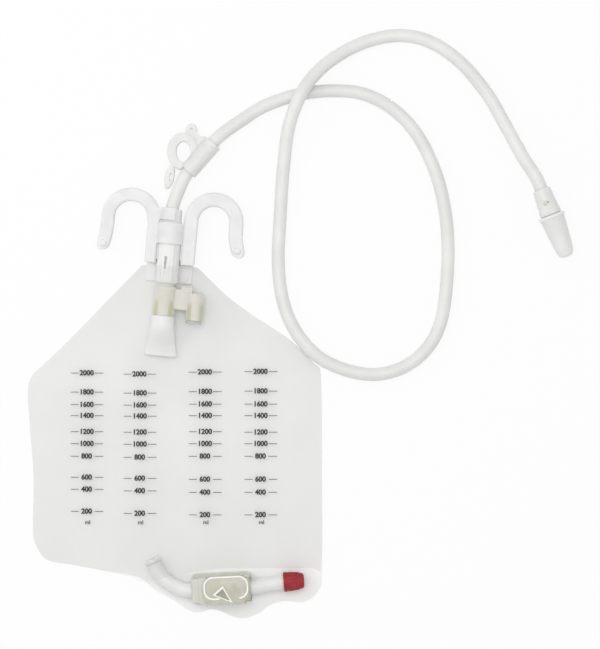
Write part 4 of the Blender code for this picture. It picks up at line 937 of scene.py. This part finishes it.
# %% Yellow port fitment
BESIDE = FITMENTS @ Matrix.Translation((0.0244, 0, 0)) @ UP_THE_AXIS
UPRIGHT = FITMENTS @ UP_THE_AXIS
sleeve = turned(
    "inlet_sleeve", [(0.0081, -0.0465), (0.0087, -0.0459), (0.0087, -0.0171), (0.0081, -0.0165)], UPRIGHT, 64
)
vent = turned(
    "vent_sleeve", [(0.0061, -0.0415), (0.0067, -0.0409), (0.0067, -0.0206), (0.0061, -0.0200)], BESIDE, 56
)
web = settle(block("port_web", (0.0052, -0.0338, -0.0035), (0.0290, -0.0175, 0.0035), 0.0016), FITMENTS)
shoulder = settle(
    block("port_shoulder", (0.0121, -0.0240, -0.0035), (0.0270, -0.0147, 0.0035), 0.0018), FITMENTS
)
fitment = join_solids(sleeve, [web, shoulder, vent])
fitment = join_solids(fitment, [
    turned("inlet_bore", [(0.0069, -0.050), (0.0069, -0.012)], UPRIGHT, 64),
    turned("vent_bore", [(0.0047, -0.045), (0.0047, -0.012)], BESIDE, 56),
], "DIFFERENCE")
soften(fitment, 0.0004, 2)
fitment.name = fitment.data.name = "port_fitment_moulding"
wear(fitment, LOOKS["yellow"])
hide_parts("port_fitment")

# %% [markdown]
# ## Outlet
# The outlet tube is soft, and the clamp's nose pinches it nearly flat. Its round section is carried
# along its path ring by ring, and the rings near the nose are pressed down and widened. They spread
# a little less than a real tube would, so about an eighth of the length round the tube is lost.

# %% Drain tube
DRAIN_RADIUS = 0.00575
PINCH_X = 0.0065
PINCHED_HALF = 0.0015
NOSE_HALF = 0.0025
PINCH_FADE = 0.0110
SPREAD_SHARE = 0.93
drain_route = [
    (-0.0160, -0.1262, 0.00673), (-0.0125, -0.1342, 0.00696), (-0.0048, -0.1415, 0.00747),
    (0.0040, -0.1462, 0.00797),
]
drain_route += [tuple(CLAMP @ Vector((run, 0, 0))) for run in (-0.0273, -0.01365, 0.0, 0.0198)]
drain_route += [(0.0740, -0.1431, DRAIN_Z)]
drain_route += [tuple(DRAIN_END @ Vector((run, 0, 0))) for run in (0.0, 0.0069, 0.0135)]


def even_path(path, spacing):
    """Points at even distances along an open path, both ends kept."""
    run = way_along(path)
    at = np.linspace(0, run[-1], max(2, int(round(run[-1] / spacing)) + 1))
    return np.stack([np.interp(at, run, path[:, k]) for k in range(3)], axis=1)


def ringed_tube(name, path, radius, sides=40):
    """A closed tube of rings set square to a path that lies nearly flat."""
    shape = bmesh.new()
    rings = []
    for index, place in enumerate(path):
        ahead = Vector(path[min(index + 1, len(path) - 1)]) - Vector(path[max(index - 1, 0)])
        ahead.normalize()
        across = Vector((-ahead.y, ahead.x, 0)).normalized()
        rise = ahead.cross(across)
        ring = []
        for k in range(sides):
            turn = 2 * math.pi * k / sides
            ring.append(shape.verts.new(
                Vector(place) + radius * (math.cos(turn) * across + math.sin(turn) * rise)
            ))
        rings.append(ring)
    for ring, following in zip(rings, rings[1:]):
        for k in range(sides):
            n = (k + 1) % sides
            shape.faces.new((ring[k], ring[n], following[n], following[k]))
    shape.faces.new(rings[0])
    shape.faces.new(rings[-1])
    bmesh.ops.recalc_face_normals(shape, faces=shape.faces)
    return new_piece(name, shape)


def pinch(piece):
    """Presses the tube flat under the clamp's nose and lets it spread sideways."""
    inverse = CLAMP.inverted()
    flat = PINCHED_HALF / DRAIN_RADIUS
    wide = math.pi / 2 - (math.pi / 2 - 1) * flat
    for vert in piece.data.vertices:
        local = inverse @ vert.co
        share = 1 - float(fade((abs(local.x - PINCH_X) - NOSE_HALF) / PINCH_FADE))
        local.z = -DRAIN_RADIUS + (local.z + DRAIN_RADIUS) * (1 - share * (1 - flat))
        local.y *= 1 + share * (SPREAD_SHARE * wide - 1)
        vert.co = CLAMP @ local


drain_path = even_path(smooth_path(drain_route, 10), 0.0016)
drain_tube = ringed_tube("outlet_tube", drain_path, DRAIN_RADIUS)
pinch(drain_tube)
drain_tube.data.shade_smooth()
print("outlet tube length in m", round(path_length(drain_path), 4))
wear(drain_tube, LOOKS["outlet"])
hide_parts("drain_tube")

# %% [markdown]
# ## Drain cap
# The red cap is a soft cup over the tube's end. It's turned from its closed end, over the rim and
# back into its bore, and fine ribs for the fingers are copied round it.

# %% Red cap
CAP_ON_TUBE = DRAIN_END @ ALONG_X
red_cap = turned("red_cap_cup", [
    (0.0030, 0.0162), (0.0045, 0.0161), (0.0056, 0.0155), (0.0061, 0.0144), (0.0066, 0.0115),
    (0.0074, 0.0040), (0.0075, 0.0026), (0.0077, 0.0022), (0.0077, 0.0006), (0.0073, 0.0), (0.00605, 0.0),
    (0.00605, 0.0138),
], CAP_ON_TUBE, 64)
grips = []
for number in range(20):
    turn = Matrix.Rotation(2 * math.pi * number / 20, 4, "Z")
    grip = block(f"grip_{number}", (0.0070, -0.00032, 0.0034), (0.0077, 0.00032, 0.0116), 0.0002, 2)
    lean = (
        Matrix.Translation((0, 0, 0.0034)) @ Matrix.Rotation(math.radians(-5.5), 4, "Y")
        @ Matrix.Translation((0, 0, -0.0034))
    )
    grips.append(settle(grip, CAP_ON_TUBE @ turn @ lean))
red_cap = melt("red_cap_cup", [red_cap] + grips, 0.00022, 1)
wear(red_cap, LOOKS["red"], "drain_cap")
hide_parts("drain_cap")

# %% [markdown]
# ## Clamp
# The clamp is a clear yellowish lever on a hinge pin. A raised line runs round its edge and
# round the small arrow window that shows which way it presses, and its white is a painted highlight
# along that raised rim. The plate, the line and the window's grey floor are separate solids, so that
# each has its own finish, and all of them swing with the lever. A latch ledge belongs to the clamp's
# body and stays where it is.

# %% Lever plate
def slab(name, low, high, corner, bottom, top, edge):
    """A flat plate with round corners in plan and softened edges."""
    piece = start_from(bpy.ops.mesh.primitive_plane_add, name, size=1)
    piece.scale = (high[0] - low[0], high[1] - low[1], 1)
    piece.location = ((low[0] + high[0]) / 2, (low[1] + high[1]) / 2, bottom)
    bpy.ops.object.transform_apply(location=True, scale=True)
    edit(piece, "VERT")
    bpy.ops.mesh.bevel(offset=corner, segments=10, affect="VERTICES")
    bpy.ops.mesh.select_mode(type="FACE")
    bpy.ops.mesh.select_all(action="SELECT")
    bpy.ops.mesh.extrude_region_move(TRANSFORM_OT_translate={"value": (0, 0, top - bottom)})
    close_solid(piece, Matrix.Identity(4))
    if edge:
        soften(piece, edge, 2)
    return piece


def prism(name, corners, bottom, top, matrix):
    """A straight block over an outline of any shape."""
    shape = bmesh.new()
    face = shape.faces.new([shape.verts.new((x, y, bottom)) for x, y in corners])
    shape.normal_update()
    if face.normal.z > 0:
        face.normal_flip()
    piece = new_piece(name, shape)
    edit(piece)
    bpy.ops.mesh.extrude_region_move(TRANSFORM_OT_translate={"value": (0, 0, top - bottom)})
    return close_solid(piece, matrix)


ARROW = [(-0.0022, 0.0018), (-0.0083, -0.0031), (0.0032, -0.0082)]
ARROW_MIDDLE = np.mean(ARROW, axis=0)


def arrow(grow):
    return [tuple(ARROW_MIDDLE + (np.array(point) - ARROW_MIDDLE) * grow) for point in ARROW]


PLATE = 0.01055
lever = slab("lever_plate", (-0.0178, -0.0111), (0.0178, 0.0111), 0.0075, PLATE, PLATE + 0.0018, 0.0004)
lever = join_solids(
    lever, [prism("arrow_hole", arrow(1.0), PLATE + 0.0009, 0.016, Matrix.Identity(4))], "DIFFERENCE"
)
barrel_line = Matrix.Translation((0.0166, 0, 0.00725)) @ UP_THE_AXIS
barrel = turned(
    "hinge_barrel", [(0.0022, -0.0091), (0.0024, -0.0089), (0.0024, 0.0089), (0.0022, 0.0091)], barrel_line,
    40
)
pins = turned(
    "hinge_pins", [(0.0012, -0.0107), (0.0014, -0.0105), (0.0014, 0.0105), (0.0012, 0.0107)], barrel_line, 32
)
web = block("hinge_web", (0.0142, -0.0091, 0.00725), (0.0180, 0.0091, 0.0110), 0.0004)
nose = block("pinch_nose", (0.0051, -0.0085, -0.0012), (0.0079, 0.0085, 0.0110), 0.0007, 4)
lever = join_solids(lever, [web, barrel, pins, nose])
settle(lever, CLAMP)
bpy.ops.object.shade_smooth_by_angle(angle=math.radians(40))
wear(lever, LOOKS["lever"], "clamp_lever")
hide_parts("clamp_lever")

# %% Painted highlight line, arrow window and latch ledge
rim = slab("lever_highlight_line", (-0.0172, -0.0070), (0.0178, 0.0111), 0.0075, PLATE + 0.0014, PLATE + 0.0026, 0)
rim_room = slab("line_room", (-0.0159, -0.0057), (0.0165, 0.0098), 0.0063, 0.010, 0.016, 0)
line_gap = block("line_gap", (-0.0050, -0.0100, 0.009), (0.0105, -0.0045, 0.016), 0.0002)
rim = join_solids(rim, [rim_room, line_gap], "DIFFERENCE")
arrow_edge = prism("arrow_edge", arrow(1.36), PLATE + 0.0014, PLATE + 0.0026, Matrix.Identity(4))
rim = melt("lever_highlight_line", [rim, arrow_edge], 0.00022, 2)
rim = join_solids(rim, [prism("arrow_room", arrow(0.98), 0.008, 0.016, Matrix.Identity(4))], "DIFFERENCE")
rim.name = rim.data.name = "lever_highlight_line"
settle(rim, CLAMP)
wear(rim, LOOKS["line"], "clamp_lever")

arrow_floor = prism("arrow_floor", arrow(0.97), PLATE + 0.0005, PLATE + 0.0011, CLAMP)
wear(arrow_floor, LOOKS["arrow"], "clamp_lever")
ledge = settle(block("latch_ledge", (-0.0212, -0.0102, 0.0064), (-0.0150, 0.0102, 0.0096), 0.0005), CLAMP)
wear(ledge, LOOKS["clamp"])

# %% [markdown]
# ## Sheet clip
# A clip rides on the tube and pins it to the bed sheet. It has a ring, a thumb knob beside it, a
# saddle that wraps the tube and leaves it free below, and a small looped tail. The parts are plain
# solids with their holes cut out, melted into one moulding.

# %% Sheet clip
RING = Matrix.Translation(CLIP @ Vector((-0.0057, 0.0134, 0)))
disc = [
    (0.0, -0.0022), (0.0009, -0.0017), (0.0013, -0.0009), (0.0013, 0.0009), (0.0009, 0.0017), (0.0, 0.0022)
]


def lens(name, radius, stretch, matrix, thin=1.0):
    """A flat oval with a round edge."""
    rings = [(radius - 0.0013 + out, height * thin) for out, height in disc]
    return turned(name, rings, matrix @ Matrix.Diagonal((1, stretch, 1, 1)), 64)


TAIL = RING @ Matrix.Translation((-0.0106, -0.0199, 0)) @ Matrix.Rotation(math.radians(-12), 4, "Z")
TAIL_SLOT = TAIL @ Matrix.Translation((0.0008, 0.0, 0))
ring = lens("clip_ring", 0.0125, 1.2, RING)
hole = turned("ring_hole", [(0.0064, -0.0030), (0.0056, -0.0011), (0.0056, 0.0011), (0.0064, 0.0030)],
              RING @ Matrix.Translation((0.0005, -0.0004, 0)) @ Matrix.Diagonal((1, 1.44, 1, 1)), 56)
ring = join_solids(ring, [hole], "DIFFERENCE")
knob = lens("thumb_knob", 0.0047, 1.0, RING @ Matrix.Translation((0.0066, 0.0172, 0)), 0.9)
dimple = turned(
    "knob_dimple", [(0.0012, 0.0009), (0.0018, 0.0030)], RING @ Matrix.Translation((0.0066, 0.0172, 0)), 32
)
knob = join_solids(knob, [dimple], "DIFFERENCE")
neck = prism(
    "knob_neck", [(0.0030, 0.0100), (0.0100, 0.0080), (0.0105, 0.0165), (0.0040, 0.0180)], -0.0018, 0.0018,
    RING
)
tail = lens("clip_tail", 0.0038, 2.6, TAIL, 0.9)
slot = turned(
    "tail_slot", [(0.0009, -0.0030), (0.0006, 0.0), (0.0009, 0.0030)],
    TAIL_SLOT @ Matrix.Diagonal((1, 4.4, 1, 1)), 32
)
tail = join_solids(tail, [slot], "DIFFERENCE")
corner = [
    (0.0050, 0.00565), (0.0147, 0.00565), (0.0147, 0.0081), (0.0118, 0.0114), (0.0134, 0.0150),
    (0.0085, 0.0158), (0.0040, 0.0100)
]
corner_web = prism("corner_web", corner, -0.0017, 0.0017, CLIP)
saddle = turned(
    "saddle", [(0.0068, -0.0150), (0.00725, -0.0145), (0.00725, 0.0145), (0.0068, 0.0150)], CLIP @ ALONG_X, 64
)
flat_parts = melt("clip_flat_parts", [ring, knob, neck, tail, corner_web, saddle], 0.00032, 2)
channel = turned("tube_room", [(0.00565, -0.0195), (0.00565, 0.0175)], CLIP @ ALONG_X, 64)
below = settle(block("saddle_mouth", (-0.020, -0.0043, -0.012), (0.020, 0.0043, -0.0030), 0.0003), CLIP)
clip = join_solids(flat_parts, [channel, below], "DIFFERENCE")
clip.name = clip.data.name = "sheet_clip_moulding"
bpy.ops.object.shade_smooth_by_angle(angle=math.radians(50))
wear(clip, LOOKS["clip"], "sheet_clip")
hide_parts("sheet_clip")

# %% [markdown]
# ## Connector and its cap
# The tube ends in a stepped connector with a tapered nose, and a cup-shaped cap is pushed over the
# nose. Both are turned along the connector's axis. A yellowish plug sits in the connector's side, and
# its dark eye is painted shade for the dark hole of a bore.

# %% Connector
NOZZLE = CONNECTOR @ ALONG_X
connector = turned("stepped_connector", [
    (0.00555, 0.0120), (0.00555, 0.0), (0.0064, 0.0), (0.0070, 0.0010), (0.0073, 0.0035), (0.0075, 0.0080),
    (0.0078, 0.0140), (0.0080, 0.0164), (0.0085, 0.0174), (0.0085, 0.0210), (0.0081, 0.0213),
    (0.0048, 0.0224), (0.0034, 0.0468), (0.0028, 0.0480), (0.0022, 0.0480), (0.0022, 0.0300),
], NOZZLE, 64)
soften(connector, 0.0003, 2, 30)
wear(connector, LOOKS["connector"])
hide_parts("tube_connector")

plug_place = CONNECTOR @ Matrix.Translation((0.0117, -0.0012, 0.0071))
plug = turned(
    "side_plug", [(0.0023, -0.0010), (0.0023, 0.0001), (0.0020, 0.00045), (0.0010, 0.0006)], plug_place, 32
)
wear(plug, LOOKS["plug"])
# The plug's dark eye is painted shade, standing for the dark hole of its bore.
plug_bore_shade = turned(
    "plug_bore_shade", [(0.0006, 0.0), (0.0006, 0.0005), (0.0004, 0.0007)],
    plug_place @ Matrix.Translation((-0.0004, 0.0017, 0)), 24
)
wear(plug_bore_shade, LOOKS["dark"])

# %% Connector cap
CAP_AXIS = CONNECTOR @ Matrix.Translation((0.0216, 0, 0)) @ ALONG_X
cap = turned("connector_cap_cup", [
    (0.0022, 0.0350), (0.0040, 0.0345), (0.0054, 0.0333), (0.0063, 0.0316), (0.0068, 0.0298),
    (0.0074, 0.0260), (0.0082, 0.0180), (0.0090, 0.0100), (0.0095, 0.0034), (0.0098, 0.0027),
    (0.0106, 0.0022), (0.0106, 0.0005), (0.0102, 0.0), (0.0081, 0.0), (0.0077, 0.0100), (0.0056, 0.0288),
    (0.0036, 0.0322),
], CAP_AXIS, 72)
soften(cap, 0.0003, 2, 30)
wear(cap, LOOKS["cap"], "connector_cap")
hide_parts("connector_cap")

# %% [markdown]
# ## Valve and the small parts that stay
# The one-way valve is a sleeve of thin film. Its round top is bonded to the yellow sleeve, and it
# flattens towards a wide open mouth. Nothing of it shows in the picture of the bag, so its shape
# follows other valves of the kind. The vent's plug, the outlet's stub and the clamp's bed keep
# their solids and only take their finish.

# %% Valve sleeve
def valve_sleeve(name, sides=48, rings=22):
    """Rings that go from a circle to a flat wide mouth."""
    shape = bmesh.new()
    loops = []
    for ring in range(rings):
        run = ring / (rings - 1) * 0.032
        t = max(0.0, (run - 0.007) / 0.025)
        soft = float(fade(t))
        across = 0.0090 + (0.0125 - 0.0090) * t
        tall = 0.0090 + (0.0011 - 0.0090) * soft
        drop = (AXIS_Z - 0.0030) * soft
        ring_points = []
        for k in range(sides):
            turn = 2 * math.pi * k / sides
            ripple = 1 + 0.02 * t * math.sin(5 * turn + 9 * t)
            ring_points.append(shape.verts.new((
                across * ripple * math.cos(turn), -0.0395 - run, tall * math.sin(turn) - drop
            )))
        loops.append(ring_points)
    for upper, lower in zip(loops, loops[1:]):
        for k in range(sides):
            n = (k + 1) % sides
            shape.faces.new((upper[k], upper[n], lower[n], lower[k]))
    bmesh.ops.recalc_face_normals(shape, faces=shape.faces)
    return settle(new_piece(name, shape), FITMENTS)


valve = valve_sleeve("valve_film_sleeve")
apply_modifier(valve, "SOLIDIFY", thickness=0.0003, offset=1.0)
valve.data.shade_smooth()
wear(valve, LOOKS["valve"])
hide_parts("anti_reflux_valve")

# %% Finishes of the solids that stay
for name, look in (("vent_plug", "filter"), ("drain_port", "outlet"), ("clamp_body", "clamp")):
    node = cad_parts[name]
    node.data.materials.clear()
    node.data.materials.append(LOOKS[look])

# %% Report of sizes
def write_sizes():
    sizes = {
        "cad": [list(map(float, corner)) for corner in cad_box],
        "visual": [list(map(float, corner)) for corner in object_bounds()],
    }
    for side, name in enumerate("xyz"):
        grown = [round(1000 * (b[side] - a[side]), 1) for a, b in zip(sizes["cad"], sizes["visual"])]
        print("grown along", name, "in mm", grown)


write_sizes()
